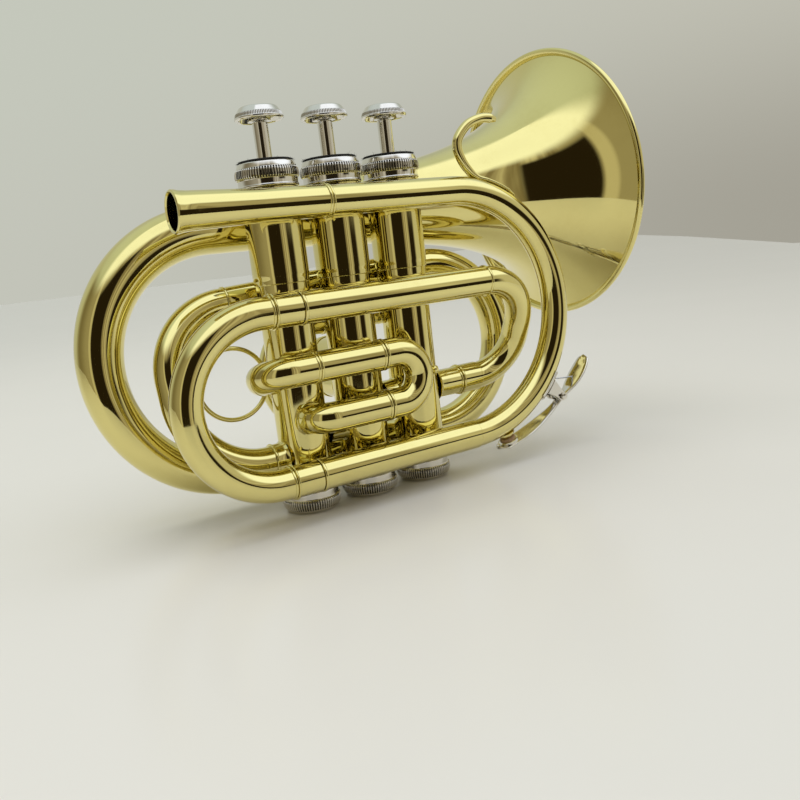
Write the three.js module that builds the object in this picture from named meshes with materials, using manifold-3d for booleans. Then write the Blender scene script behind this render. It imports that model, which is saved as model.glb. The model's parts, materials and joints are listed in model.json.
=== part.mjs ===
// Pocket trumpet: a standard-bore trumpet wound into a short frame, standing on its three valve caps.
// Units are millimetres. X runs towards the bell rim, Y towards the player's left, Z up the valves.
// The origin is the centre of the second valve's bottom cap, on its flat lower face.

import * as THREE from 'three';
import { mergeVertices } from 'three/addons/utils/BufferGeometryUtils.js';
import Module from 'manifold-3d';

const wasm = await Module();
wasm.setup();

// Clearances shared by all pieces
const seatGap = 0.3; // between two pieces that meet
const runningGap = 0.25; // radial, between a sliding piece and its bore
const cutOverrun = 1.5; // how far a cutter passes the skin it cuts

// Facets
const pipeSides = 10;
const casingSides = 16;
const capSides = 16;
const plugSides = 10;
const rodSides = 6;
const strapSides = 8;
const wireSides = 5;
const ringSteps = 24;
const curveSteps = 20;
const bendStepDegrees = 22.5;

// Valve block
const valve = {
  count: 3,
  pitch: 27,
  stroke: 13.5,
  casingRadius: 10.2,
  casingBore: 8.7,
  casingFoot: 3.2,
  shoulderHeight: 91,
  shoulderRise: 1.6,
  balusterRadius: 10.9,
  balusterBore: 9.7,
  ledgeHeight: 97.5,
  balusterTop: 124.6,
  threadRadius: 10.1,
  threadTop: 129.8,
  beadRise: 0.5,
  beadWidth: 1.6,
};

const bottomCap = {
  rimRadius: 11.6,
  rimBottom: 1.4,
  rimTop: 5.3,
  skirtRadius: 10.9,
  skirtTop: 8.6,
  footRadius: 10.3,
  floor: 1.6,
  ventRadius: 1.5,
};

const topCap = {
  bottom: 124.9,
  skirtRadius: 11.5,
  knurlBottom: 127.6,
  knurlTop: 131.7,
  knurlRadius: 12.05,
  collarRadius: 11.4,
  top: 134,
  crownRadius: 10.6,
  crownThickness: 2.4,
  stemHoleRadius: 3.3,
};

// Soft washer that lies on each top cap and stops the button
const felt = {
  thickness: 1.2,
  outerRadius: 10.9,
  innerRadius: 4.6,
};

const button = {
  rimRadius: 9.2,
  crownRadius: 7.9,
  rimBottom: 149.3,
  rimTop: 151.1,
  top: 154.2,
  shell: 1.3,
  hubRadius: 4.2,
  hubBottom: 148.9,
};

const stem = {
  radius: 2.8,
  flangeRadius: 7.0,
  flangeThickness: 2.0,
  spigotRadius: 1.7,
};

const piston = {
  bottom: 17.2,
  bodyTop: 96.4,
  barrelRadius: 7.4,
  barrelBore: 6.5,
  barrelTop: 124.4,
  slotWidth: 3.4,
  slotBottom: 96.9,
  slotTop: 117.5,
  passageRadius: 4.9,
  passageSteps: 4,
};

const guide = {
  thickness: 2.2,
  discRadius: 6.1,
  earWidth: 2.8,
  earRadius: 9.3,
  holeRadius: 1.6,
  sides: 12,
};

const spring = {
  wireRadius: 0.45,
  coilRadius: 5.3,
  turns: 6,
  stepsPerTurn: 8,
};

// Leadpipe side, in one upright plane on the player's right
const near = {
  y: -19,
  leadpipeHeight: 117.4,
  lowerHeight: 17.3,
  bowCentreX: 42.5,
  leadpipeRadius: 5.7,
  leadpipeBore: 5.2,
  runRadius: 6.05,
  runBore: 5.5,
  crookHeight: 80.2,
};

const receiver = {
  rimX: -71.1,
  jointX: -13.6,
  collarRadius: 7.35,
  collarLength: 5.5,
  neckRadius: 6.75,
  frontRadius: 5.95,
  taperLength: 26,
  mouthBore: 6.2,
  bore: 5.2,
  socketDepth: 30,
  ringRise: 0.5,
  ringWidth: 1.1,
};

const tuning = {
  bowCentreX: -45.6,
  lowerFerruleX: -42.5,
  upperFerruleX: -41.5,
  ferruleLength: 10.9,
  bowRadius: 5.9,
  bowBore: 5.3,
  ferruleRadius: 6.3,
  legRadius: 5.2,
  legBore: 4.75,
  legLength: 34,
  ringRise: 0.4,
  ringWidth: 1.1,
  mouthRingWidth: 1.2,
  travel: 24,
};

// The bow that drops from the middle run into the third valve
const entry = {
  height: 38,
  buttX: 55.6,
  frontX: 78.1,
  ferruleFrontX: 59.6,
  ferruleRearX: 49.2,
  ferruleRadius: 6.3,
  ringRise: 0.4,
  ringWidth: 1.1,
  radius: 5.9,
  bore: 5.4,
};

// From the first valve round to the bell, on the player's left
const exit = {
  height: 22.3,
  ferruleRearX: -41.8,
  ferruleRadius: 6.3,
  bowRearX: -72.4,
  lowerBendRadius: 29.5,
  upperBendRadius: 27.5,
  radius: 5.9,
  bore: 5.4,
  ringRise: 0.4,
  ringWidth: 1.1,
};

const tail = {
  rearX: -45.2,
  rearY: 17.8,
  rearHeight: 84.3,
  frontX: 51.4,
  frontY: 19,
  frontHeight: 89.3,
  radius: 6.0,
  bore: 5.5,
  frontRadius: 6.7,
  frontBore: 6.2,
  lowerRadius: 7.1,
  lowerBore: 6.6,
  lowerY: 20.5,
  lowerHeight: 15,
};

const bell = {
  bowX: -44.5,
  lowerY: 20.6,
  lowerHeight: 15.2,
  upperY: 26.8,
  upperHeight: 113.4,
  rimX: 134.8,
  rimY: 26.8,
  rimHeight: 119.9,
  lowerRadius: 7.5,
  rearRadius: 9.9,
  rimRadius: 63,
  flareOffset: 36.6,
  flarePower: 1.05,
  wall: 0.55,
  lipRadius: 1.5,
  lipInset: 0.4,
  lipSetback: 0.9,
  sides: 24,
};

// First valve slide: a long loop on the near side whose front crook pulls forward
const first = {
  y: -17.6,
  upperHeight: 57.6,
  lowerHeight: 37.6,
  radius: 5.9,
  bore: 5.45,
  legRadius: 5.2,
  legBore: 4.75,
  turnX: -34.8,
  turnHeight: 53.6,
  jointX: -26.4,
  mouthX: 2,
  crookX: 8.8,
  legLength: 20,
  elbowRadius: 6.9,
  knobRadius: 1.9,
  knobLength: 3.2,
  ringRise: 0.4,
  ringWidth: 1.1,
  travel: 14,
};

// Second valve slide, pointing to the player's left
const second = {
  upperHeight: 58,
  lowerHeight: 44,
  radius: 5.9,
  bore: 5.45,
  legRadius: 5.2,
  legBore: 4.75,
  mouthY: 24,
  ferruleLength: 2.6,
  legLength: 12.4,
  knobRadius: 2,
  knobLength: 3.4,
  ringRise: 0.4,
  ringWidth: 1,
  travel: 9,
};

// Third valve slide, along the far side towards the player
const third = {
  y: 17.7,
  tailGap: 0.5,
  lowerHeight: 30.2,
  radius: 5.8,
  bore: 5.35,
  legRadius: 5.1,
  legBore: 4.65,
  elbowRadius: 6.9,
  mouthX: -3.5,
  ferruleLength: 4.4,
  legLength: 21,
  ringRise: 0.4,
  ringWidth: 1,
  travel: 14,
};

const knuckle = {
  radius: 6.2,
  bore: 5.2,
  frontHeight: 38,
  rearHeight: 30.5,
};

const thumbRing = {
  y: 8,
  height: 53.5,
  ringRadius: 13.8,
  wireRadius: 0.9,
  standOff: 2.4,
  footRadius: 1.6,
};

// Little-finger hook, whose flattened foot follows the top of the big bow
const hook = {
  radius: 1.9,
  reach: 25.9,
  rise: 27.9,
  footHalfWidth: 2.7,
  footHalfThickness: 0.8,
  footFrontAngle: 55,
  footRearAngle: 76,
};

const waterKey = {
  pivotAngle: -42,
  pivotRise: 7.8,
  corkAngle: -73,
  heelAngle: -79,
  touchAngle: -22.5,
  touchRise: 15.4,
  bladeHalfWidth: 5,
  bladeHalfThickness: 0.75,
  cupRadius: 4.4,
  cupHeight: 1.4,
  corkRadius: 3.4,
  corkHeight: 1.7,
  nippleRadius: 2.7,
  nippleBore: 1.4,
  nippleRise: 1.5,
  barrelRadius: 2.1,
  barrelLength: 5,
  pinRadius: 0.9,
  pinLength: 11,
  earThickness: 1.3,
  earRadius: 2.1,
  saddleHalfAngle: 7,
  saddleThickness: 1.2,
  saddleWrap: 2.6,
};

// Materials
const lacqueredBrass = new THREE.MeshStandardMaterial({ color: 0xd9b04a, roughness: 0.16, metalness: 1 });
const nickelPlate = new THREE.MeshStandardMaterial({ color: 0xc9c8c4, roughness: 0.22, metalness: 1 });
const nickelSilver = new THREE.MeshStandardMaterial({ color: 0xb9b7b0, roughness: 0.3, metalness: 1 });
const springSteel = new THREE.MeshStandardMaterial({ color: 0x9aa0a6, roughness: 0.35, metalness: 1 });
const corkPad = new THREE.MeshStandardMaterial({ color: 0xb98a5a, roughness: 0.9, metalness: 0 });
const nylonGuide = new THREE.MeshStandardMaterial({ color: 0xe8e4d8, roughness: 0.6, metalness: 0 });
const blackFelt = new THREE.MeshStandardMaterial({ color: 0x16151a, roughness: 0.95, metalness: 0 });

const trumpet = new THREE.Group();

const xAxis = new THREE.Vector3(1, 0, 0);
const yAxis = new THREE.Vector3(0, 1, 0);
const zAxis = new THREE.Vector3(0, 0, 1);

function addPiece(name, geometry, material) {
  const mesh = new THREE.Mesh(geometry, material);
  mesh.name = name;
  trumpet.add(mesh);
  return mesh;
}

// A route is a chain of stations along a pipe's centre line, each with its outer radius and bore.
class Route {
  constructor(start, direction, outer, bore) {
    this.outer = outer;
    this.bore = bore;
    this.stations = [];
    this.position = start.clone();
    this.direction = direction.clone().normalize();
    this.mark();
  }

  mark() {
    this.stations.push({
      position: this.position.clone(),
      direction: this.direction.clone(),
      outer: this.outer,
      bore: this.bore,
    });
    return this;
  }

  straight(length) {
    this.position.addScaledVector(this.direction, length);
    return this.mark();
  }

  size(outer, bore = this.bore) {
    this.outer = outer;
    this.bore = bore;
    return this.mark();
  }

  // A raised ring round the pipe
  ring(rise, width) {
    const plain = this.outer;
    this.size(plain + rise);
    this.straight(width);
    return this.size(plain);
  }

  // Turns about an axis through the bend's centre, with the radii moving evenly to new values
  bend(axis, degrees, radius, outerEnd = this.outer, boreEnd = this.bore) {
    const steps = Math.max(2, Math.ceil(Math.abs(degrees) / bendStepDegrees));
    const turn = axis.clone().normalize();
    const side = new THREE.Vector3().crossVectors(turn, this.direction).multiplyScalar(Math.sign(degrees));
    const centre = this.position.clone().addScaledVector(side, radius);
    const spoke = this.position.clone().sub(centre);
    const heading = this.direction.clone();
    const outerStart = this.outer;
    const boreStart = this.bore;
    for (let step = 1; step <= steps; step += 1) {
      const share = step / steps;
      const angle = THREE.MathUtils.degToRad(degrees) * share;
      this.position = spoke.clone().applyAxisAngle(turn, angle).add(centre);
      this.direction = heading.clone().applyAxisAngle(turn, angle);
      this.outer = THREE.MathUtils.lerp(outerStart, outerEnd, share);
      this.bore = THREE.MathUtils.lerp(boreStart, boreEnd, share);
      this.mark();
    }
    return this;
  }
}

// A half-turn bow from one point to another, leaving along the heading
function halfTurn(route, heading, toPoint, outerEnd, boreEnd) {
  const across = toPoint.clone().sub(route.position);
  const radius = across.length() / 2;
  const axis = new THREE.Vector3().crossVectors(heading, across);
  return route.bend(axis, 180, radius, outerEnd, boreEnd);
}

// Ring vertices round each station, carried along without twist
function stationRings(stations, sides, radiusOf) {
  const rings = [];
  let normal = null;
  let previous = null;
  for (const station of stations) {
    if (normal === null) {
      const reference = Math.abs(station.direction.z) < 0.9 ? zAxis : xAxis;
      normal = reference.clone().addScaledVector(station.direction, -reference.dot(station.direction));
      normal.normalize();
    } else {
      const turn = new THREE.Quaternion().setFromUnitVectors(previous, station.direction);
      normal.applyQuaternion(turn);
    }
    previous = station.direction;
    const binormal = new THREE.Vector3().crossVectors(station.direction, normal);
    const radius = radiusOf(station);
    const ring = [];
    for (let side = 0; side < sides; side += 1) {
      const angle = ((side + 0.5) / sides) * Math.PI * 2;
      const point = station.position.clone();
      point.addScaledVector(normal, Math.cos(angle) * radius);
      point.addScaledVector(binormal, Math.sin(angle) * radius);
      ring.push(point);
    }
    rings.push(ring);
  }
  return rings;
}

// Joins rings of equal count into a closed surface, the rings running round the section
function closedStrip(rings, closeLoop) {
  const positions = [];
  const indices = [];
  const sides = rings[0].length;
  for (const ring of rings) {
    for (const point of ring) {
      positions.push(point.x, point.y, point.z);
    }
  }
  const last = closeLoop ? rings.length : rings.length - 1;
  for (let row = 0; row < last; row += 1) {
    const next = (row + 1) % rings.length;
    for (let side = 0; side < sides; side += 1) {
      const a = row * sides + side;
      const b = row * sides + ((side + 1) % sides);
      const c = next * sides + side;
      const d = next * sides + ((side + 1) % sides);
      indices.push(a, b, d, a, d, c);
    }
  }
  if (!closeLoop) {
    const endRing = (rings.length - 1) * sides;
    for (let side = 1; side < sides - 1; side += 1) {
      indices.push(0, side + 1, side);
      indices.push(endRing, endRing + side, endRing + side + 1);
    }
  }
  const geometry = new THREE.BufferGeometry();
  geometry.setAttribute('position', new THREE.Float32BufferAttribute(positions, 3));
  geometry.setIndex(indices);
  return cleaned(geometry);
}

// Merges equal points and drops the flat triangles that steps in radius leave
function cleaned(geometry) {
  const plain = new THREE.BufferGeometry();
  plain.setAttribute('position', geometry.getAttribute('position').clone());
  if (geometry.index) {
    plain.setIndex(geometry.index.clone());
  }
  const merged = mergeVertices(plain, 1e-4);
  const source = merged.index.array;
  const kept = [];
  for (let corner = 0; corner < source.length; corner += 3) {
    const a = source[corner];
    const b = source[corner + 1];
    const c = source[corner + 2];
    if (a !== b && b !== c && c !== a) {
      kept.push(a, b, c);
    }
  }
  merged.setIndex(kept);
  return merged;
}

// A hollow pipe along a route: the outer skin out and the bore back, joined at both ends
function pipe(route, sides = pipeSides) {
  const skin = stationRings(route.stations, sides, (station) => station.outer);
  const bore = stationRings(route.stations, sides, (station) => station.bore);
  return closedStrip([...skin, ...bore.reverse()], true);
}

// A solid rod along a route
function rod(route, sides = rodSides) {
  return closedStrip(stationRings(route.stations, sides, (station) => station.outer), false);
}

// A body turned about the Z axis from a closed profile of [radius, height] pairs
function turned(profile, sides = casingSides) {
  const points = profile.map(([radius, height]) => new THREE.Vector2(radius, height));
  points.push(points[0].clone());
  const geometry = new THREE.LatheGeometry(points, sides);
  geometry.rotateX(Math.PI / 2);
  return cleaned(geometry);
}

function toSolid(geometry) {
  const merged = cleaned(geometry);
  const vertProperties = new Float32Array(merged.getAttribute('position').array);
  const triVerts = new Uint32Array(merged.index.array);
  const solid = new wasm.Manifold(new wasm.Mesh({ numProp: 3, vertProperties, triVerts }));
  if (solid.volume() < 0) {
    throw new Error('a cutter or body faces inwards');
  }
  return solid;
}

function toGeometry(solid) {
  const mesh = solid.getMesh();
  const geometry = new THREE.BufferGeometry();
  geometry.setAttribute('position', new THREE.Float32BufferAttribute(mesh.vertProperties, mesh.numProp));
  geometry.setIndex([...mesh.triVerts]);
  return geometry;
}

// A round solid bar between two points, for cutting and joining
function bar(from, to, radius, sides = pipeSides) {
  const direction = to.clone().sub(from);
  const length = direction.length();
  const route = new Route(from, direction, radius, 0);
  route.straight(length);
  return toSolid(rod(route, sides));
}

// A solid of flattened section along a curve through points in an upright plane across Y
function strap(points, halfWidths, halfThicknesses) {
  const curve = new THREE.CatmullRomCurve3(points);
  const spans = points.length - 1;
  const steps = Math.max(curveSteps, spans * 2);
  const rings = [];
  for (let step = 0; step <= steps; step += 1) {
    const place = (step / steps) * spans;
    const before = Math.min(Math.floor(place), spans - 1);
    const share = place - before;
    const width = THREE.MathUtils.lerp(halfWidths[before], halfWidths[before + 1], share);
    const thickness = THREE.MathUtils.lerp(halfThicknesses[before], halfThicknesses[before + 1], share);
    const position = curve.getPoint(step / steps);
    const lift = new THREE.Vector3().crossVectors(curve.getTangent(step / steps), yAxis).normalize();
    const ring = [];
    for (let side = 0; side < strapSides; side += 1) {
      const angle = ((side + 0.5) / strapSides) * Math.PI * 2;
      const point = position.clone().addScaledVector(lift, Math.cos(angle) * thickness);
      point.addScaledVector(yAxis, -Math.sin(angle) * width);
      ring.push(point);
    }
    rings.push(ring);
  }
  return toSolid(closedStrip(rings, false));
}

function block(centre, size) {
  const geometry = new THREE.BoxGeometry(size.x, size.y, size.z);
  geometry.translate(centre.x, centre.y, centre.z);
  return toSolid(geometry);
}

function at(x, y, z) {
  return new THREE.Vector3(x, y, z);
}

function valveX(number) {
  return (number - 2) * valve.pitch;
}

// Where the bell's sections stand along its axis, closer together towards the rim
const flareShares = [0.12, 0.25, 0.38, 0.5, 0.61, 0.7, 0.78, 0.84, 0.89, 0.93, 0.965, 1];

// The little-finger hook's centre line past its foot: shares of its reach from the bow's centre,
// and of its rise above the leadpipe's centre line
const hookShares = [
  [0.4, 0.26],
  [0.28, 0.41],
  [0.21, 0.59],
  [0.25, 0.74],
  [0.44, 0.91],
  [0.66, 0.985],
  [0.83, 1],
  [1, 0.975],
];

// The water key's lever from heel to touch: shares of the angle it covers, of its rise and of
// the blade's half width
const leverShares = [
  [0, -0.06, 0.72],
  [0.053, 0, 0.98],
  [0.124, 0, 1],
  [0.23, 0.06, 0.98],
  [0.336, 0.14, 0.88],
  [0.442, 0.23, 0.7],
  [0.549, 0.365, 0.48],
  [0.655, 0.507, 0.38],
  [0.726, 0.63, 0.52],
  [0.779, 0.715, 0.8],
  [0.85, 0.81, 0.96],
  [0.92, 0.905, 0.9],
  [0.973, 0.97, 0.68],
  [1, 1, 0.36],
];

// The third slide's upper tube runs just below the bell tail
const tailLow = Math.min(tail.rearHeight, tail.frontHeight) - tail.radius;
const thirdUpperHeight = tailLow - third.tailGap - third.radius;

// The big bow's centre and radius
const bowCentreHeight = (near.leadpipeHeight + near.lowerHeight) / 2;
const bowRadius = (near.leadpipeHeight - near.lowerHeight) / 2;

// Ports: where each pipe meets its casing, and which way it leaves
const ports = {
  1: [
    { height: first.turnHeight, heading: at(-1, 0, 0), bore: first.bore },
    { height: first.lowerHeight, heading: at(0, -1, 0), bore: first.bore },
    { height: exit.height, heading: at(-1, 0, 0), bore: exit.bore },
    { height: knuckle.rearHeight, heading: at(1, 0, 0), bore: knuckle.bore },
  ],
  2: [
    { height: second.upperHeight, heading: at(0, 1, 0), bore: second.bore },
    { height: second.lowerHeight, heading: at(0, 1, 0), bore: second.bore },
    { height: knuckle.rearHeight, heading: at(-1, 0, 0), bore: knuckle.bore },
    { height: knuckle.frontHeight, heading: at(1, 0, 0), bore: knuckle.bore },
  ],
  3: [
    { height: thirdUpperHeight, heading: at(0, 1, 0), bore: third.bore },
    { height: third.lowerHeight, heading: at(0, 1, 0), bore: third.bore },
    { height: entry.height, heading: at(1, 0, 0), bore: entry.bore },
    { height: knuckle.frontHeight, heading: at(-1, 0, 0), bore: knuckle.bore },
  ],
};

// The room that a pipe's end leaves round a casing
function casingClearance(number) {
  const x = valveX(number);
  const low = at(x, 0, valve.casingFoot);
  const high = at(x, 0, valve.shoulderHeight);
  return bar(low, high, (valve.casingRadius + seatGap) / Math.cos(Math.PI / casingSides), casingSides);
}

function trimmedAtCasing(geometry, number) {
  return toGeometry(toSolid(geometry).subtract(casingClearance(number)));
}

function makeCasing(number) {
  const bead = valve.beadRise;
  const profile = [
    [valve.casingBore, valve.casingFoot],
    [valve.casingRadius - bead, valve.casingFoot],
    [valve.casingRadius - bead, bottomCap.skirtTop + seatGap],
    [valve.casingRadius, bottomCap.skirtTop + seatGap],
    [valve.casingRadius, valve.shoulderHeight - valve.beadWidth],
    [valve.casingRadius + bead, valve.shoulderHeight - valve.beadWidth],
    [valve.casingRadius + bead, valve.shoulderHeight],
    [valve.balusterRadius, valve.shoulderHeight + valve.shoulderRise],
    [valve.balusterRadius, valve.balusterTop - valve.beadWidth],
    [valve.balusterRadius + bead, valve.balusterTop - valve.beadWidth],
    [valve.balusterRadius + bead, valve.balusterTop],
    [valve.threadRadius, valve.balusterTop],
    [valve.threadRadius, valve.threadTop],
    [valve.balusterBore, valve.threadTop],
    [valve.balusterBore, valve.ledgeHeight],
    [valve.casingBore, valve.ledgeHeight],
  ];
  let casing = toSolid(turned(profile));
  for (const port of ports[number]) {
    const from = at(0, 0, port.height);
    const to = from.clone().addScaledVector(port.heading, valve.casingRadius + cutOverrun);
    casing = casing.subtract(bar(from, to, port.bore));
  }
  const geometry = toGeometry(casing);
  geometry.translate(valveX(number), 0, 0);
  return geometry;
}

function makeBottomCap(number) {
  const threadBore = valve.casingRadius - valve.beadRise + runningGap;
  const profile = [
    [bottomCap.ventRadius, 0],
    [bottomCap.footRadius, 0],
    [bottomCap.rimRadius, bottomCap.rimBottom],
    [bottomCap.rimRadius, bottomCap.rimTop],
    [bottomCap.skirtRadius, bottomCap.rimTop],
    [bottomCap.skirtRadius, bottomCap.skirtTop],
    [threadBore, bottomCap.skirtTop],
    [threadBore, valve.casingFoot - seatGap],
    [valve.casingBore, valve.casingFoot - seatGap],
    [valve.casingBore, bottomCap.floor],
    [bottomCap.ventRadius, bottomCap.floor],
  ];
  const geometry = turned(profile);
  geometry.translate(valveX(number), 0, 0);
  return geometry;
}

function makeTopCap(number) {
  const threadBore = valve.threadRadius + runningGap;
  const ceiling = topCap.top - topCap.crownThickness;
  const profile = [
    [threadBore, topCap.bottom],
    [topCap.skirtRadius, topCap.bottom],
    [topCap.skirtRadius, topCap.knurlBottom],
    [topCap.knurlRadius, topCap.knurlBottom],
    [topCap.knurlRadius, topCap.knurlTop],
    [topCap.collarRadius, topCap.knurlTop],
    [topCap.crownRadius, topCap.top],
    [topCap.stemHoleRadius, topCap.top],
    [topCap.stemHoleRadius, ceiling],
    [threadBore, ceiling],
  ];
  const geometry = turned(profile);
  geometry.translate(valveX(number), 0, 0);
  return geometry;
}

function makeFelt(number) {
  const bottom = topCap.top + seatGap;
  const geometry = turned([
    [felt.innerRadius, bottom],
    [felt.outerRadius, bottom],
    [felt.outerRadius, bottom + felt.thickness],
    [felt.innerRadius, bottom + felt.thickness],
  ], capSides);
  geometry.translate(valveX(number), 0, 0);
  return geometry;
}

function makeButton(number) {
  const socket = stem.spigotRadius + runningGap;
  const profile = [
    [socket, button.hubBottom],
    [button.hubRadius, button.hubBottom],
    [button.hubRadius, button.rimTop - button.shell],
    [button.rimRadius - button.shell, button.rimBottom],
    [button.rimRadius, button.rimBottom],
    [button.rimRadius, button.rimTop],
    [button.crownRadius, button.top],
    [0, button.top],
    [0, button.rimTop],
    [socket, button.rimTop],
  ];
  const geometry = turned(profile, capSides);
  geometry.translate(valveX(number), 0, 0);
  return geometry;
}

function makeStem(number) {
  const flangeBottom = piston.barrelTop + seatGap;
  const flangeTop = flangeBottom + stem.flangeThickness;
  const profile = [
    [0, flangeBottom],
    [stem.flangeRadius, flangeBottom],
    [stem.flangeRadius, flangeTop],
    [stem.radius, flangeTop],
    [stem.radius, button.hubBottom - seatGap],
    [stem.spigotRadius, button.hubBottom - seatGap],
    [stem.spigotRadius, button.rimTop - seatGap],
    [0, button.rimTop - seatGap],
  ];
  const geometry = turned(profile, guide.sides);
  geometry.translate(valveX(number), 0, 0);
  return geometry;
}

// A curved passage through the piston from one side to another
function passage(fromHeading, fromHeight, toHeading, toHeight) {
  const reach = valve.casingBore + cutOverrun;
  const from = fromHeading.clone().multiplyScalar(reach).setZ(fromHeight);
  const to = toHeading.clone().multiplyScalar(reach).setZ(toHeight);
  const middle = at(0, 0, (fromHeight + toHeight) / 2);
  const curve = new THREE.QuadraticBezierCurve3(from, middle, to);
  const stations = [];
  for (let step = 0; step <= piston.passageSteps; step += 1) {
    stations.push({
      position: curve.getPoint(step / piston.passageSteps),
      direction: curve.getTangent(step / piston.passageSteps),
      outer: piston.passageRadius,
    });
  }
  return toSolid(closedStrip(stationRings(stations, strapSides, (station) => station.outer), false));
}

const passageHeights = {
  1: {
    inlet: [xAxis, knuckle.rearHeight],
    outlet: [at(-1, 0, 0), exit.height],
    slideIn: [at(-1, 0, 0), first.turnHeight],
    slideOut: [at(0, -1, 0), first.lowerHeight],
  },
  2: {
    inlet: [xAxis, knuckle.frontHeight],
    outlet: [at(-1, 0, 0), knuckle.rearHeight],
    slideIn: [yAxis, second.upperHeight],
    slideOut: [yAxis, second.lowerHeight],
  },
  3: {
    inlet: [xAxis, entry.height],
    outlet: [at(-1, 0, 0), knuckle.frontHeight],
    slideIn: [yAxis, thirdUpperHeight],
    slideOut: [yAxis, third.lowerHeight],
  },
};

function makePiston(number) {
  const radius = valve.casingBore - runningGap;
  const profile = [
    [0, piston.bottom],
    [radius, piston.bottom],
    [radius, piston.bodyTop],
    [piston.barrelRadius, piston.bodyTop],
    [piston.barrelRadius, piston.barrelTop],
    [piston.barrelBore, piston.barrelTop],
    [piston.barrelBore, piston.bodyTop],
    [0, piston.bodyTop],
  ];
  let body = toSolid(turned(profile, capSides));
  const paths = passageHeights[number];
  body = body.subtract(passage(paths.inlet[0], paths.inlet[1], paths.outlet[0], paths.outlet[1]));
  const lift = valve.stroke;
  body = body.subtract(
    passage(paths.inlet[0], paths.inlet[1] + lift, paths.slideIn[0], paths.slideIn[1] + lift),
  );
  body = body.subtract(
    passage(paths.slideOut[0], paths.slideOut[1] + lift, paths.outlet[0], paths.outlet[1] + lift),
  );
  const slotHeight = piston.slotTop - piston.slotBottom;
  const slotCentre = at(0, 0, (piston.slotTop + piston.slotBottom) / 2);
  body = body.subtract(block(slotCentre, at(piston.slotWidth, radius * 2, slotHeight)));
  const geometry = toGeometry(body);
  geometry.translate(valveX(number), 0, 0);
  return geometry;
}

function makeGuide(number) {
  const bottom = valve.ledgeHeight + seatGap;
  const middle = bottom + guide.thickness / 2;
  const disc = toSolid(turned([
    [guide.holeRadius, bottom],
    [guide.discRadius, bottom],
    [guide.discRadius, bottom + guide.thickness],
    [guide.holeRadius, bottom + guide.thickness],
  ], guide.sides));
  const ears = block(at(0, 0, middle), at(guide.earWidth, guide.earRadius * 2, guide.thickness));
  const holeLow = at(0, 0, bottom - cutOverrun);
  const holeHigh = at(0, 0, bottom + guide.thickness + cutOverrun);
  const hole = bar(holeLow, holeHigh, guide.holeRadius);
  const geometry = toGeometry(disc.add(ears).subtract(hole));
  geometry.translate(valveX(number), 0, 0);
  return geometry;
}

function makeSpring(number) {
  const bottom = valve.ledgeHeight + seatGap + guide.thickness + seatGap + spring.wireRadius;
  const top = piston.barrelTop - spring.wireRadius;
  const steps = spring.turns * spring.stepsPerTurn;
  const stations = [];
  for (let step = 0; step <= steps; step += 1) {
    const share = step / steps;
    const angle = share * spring.turns * Math.PI * 2;
    const height = THREE.MathUtils.lerp(bottom, top, share);
    const rise = (top - bottom) / (spring.turns * Math.PI * 2);
    const direction = at(-Math.sin(angle) * spring.coilRadius, Math.cos(angle) * spring.coilRadius, rise);
    stations.push({
      position: at(Math.cos(angle) * spring.coilRadius, Math.sin(angle) * spring.coilRadius, height),
      direction: direction.normalize(),
      outer: spring.wireRadius,
    });
  }
  const geometry = closedStrip(stationRings(stations, wireSides, (station) => station.outer), false);
  geometry.translate(valveX(number), 0, 0);
  return geometry;
}

// Pipes of the leadpipe side

function makeReceiver() {
  const body = new Route(at(receiver.rimX, near.y, near.leadpipeHeight), xAxis, receiver.collarRadius);
  body.size(receiver.collarRadius, receiver.mouthBore);
  body.stations.shift();
  const straightBore = receiver.jointX - receiver.rimX - receiver.socketDepth;
  body.straight(receiver.collarLength);
  body.size(receiver.neckRadius);
  const neckLength = receiver.socketDepth - receiver.collarLength;
  const taperShare = neckLength / receiver.taperLength;
  body.outer = THREE.MathUtils.lerp(receiver.neckRadius, receiver.frontRadius, taperShare);
  body.bore = receiver.bore;
  body.straight(neckLength);
  body.size(receiver.frontRadius);
  body.straight(straightBore - receiver.ringWidth);
  body.ring(receiver.ringRise, receiver.ringWidth);
  return pipe(body);
}

function makeLeadpipe() {
  const startX = receiver.jointX + seatGap;
  const start = at(startX, near.y, near.leadpipeHeight);
  const body = new Route(start, xAxis, near.leadpipeRadius, near.leadpipeBore);
  body.ring(receiver.ringRise, receiver.ringWidth);
  body.straight(near.bowCentreX - startX - receiver.ringWidth);
  body.bend(yAxis, 180, bowRadius);
  const from = bigBowPoint(waterKey.corkAngle, 0);
  const to = bigBowPoint(waterKey.corkAngle, near.runRadius + cutOverrun);
  const drain = bar(from, to, waterKey.nippleBore, plugSides);
  return toGeometry(toSolid(pipe(body)).subtract(drain));
}

// The room round the big bow that the pieces on it leave
function bigBowClearance() {
  const startX = receiver.jointX + seatGap;
  const body = new Route(at(startX, near.y, near.leadpipeHeight), xAxis, near.leadpipeRadius + seatGap, 0);
  body.straight(near.bowCentreX - startX);
  body.bend(yAxis, 180, bowRadius);
  return toSolid(rod(body, pipeSides));
}

function makeLowerRun() {
  const frontX = near.bowCentreX - seatGap;
  const rearX = tuning.lowerFerruleX + tuning.ferruleLength + seatGap;
  const body = new Route(at(frontX, near.y, near.lowerHeight), at(-1, 0, 0), near.runRadius, near.runBore);
  body.straight(frontX - rearX - tuning.mouthRingWidth);
  body.ring(tuning.ringRise, tuning.mouthRingWidth);
  return pipe(body);
}

function makeMiddleRun() {
  const rearX = tuning.upperFerruleX + tuning.ferruleLength + seatGap;
  const body = new Route(at(rearX, near.y, near.crookHeight), xAxis, near.runRadius, near.runBore);
  body.ring(tuning.ringRise, tuning.mouthRingWidth);
  body.straight(entry.buttX - rearX - tuning.mouthRingWidth - entry.ringWidth);
  body.ring(entry.ringRise, entry.ringWidth);
  return pipe(body);
}

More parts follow.
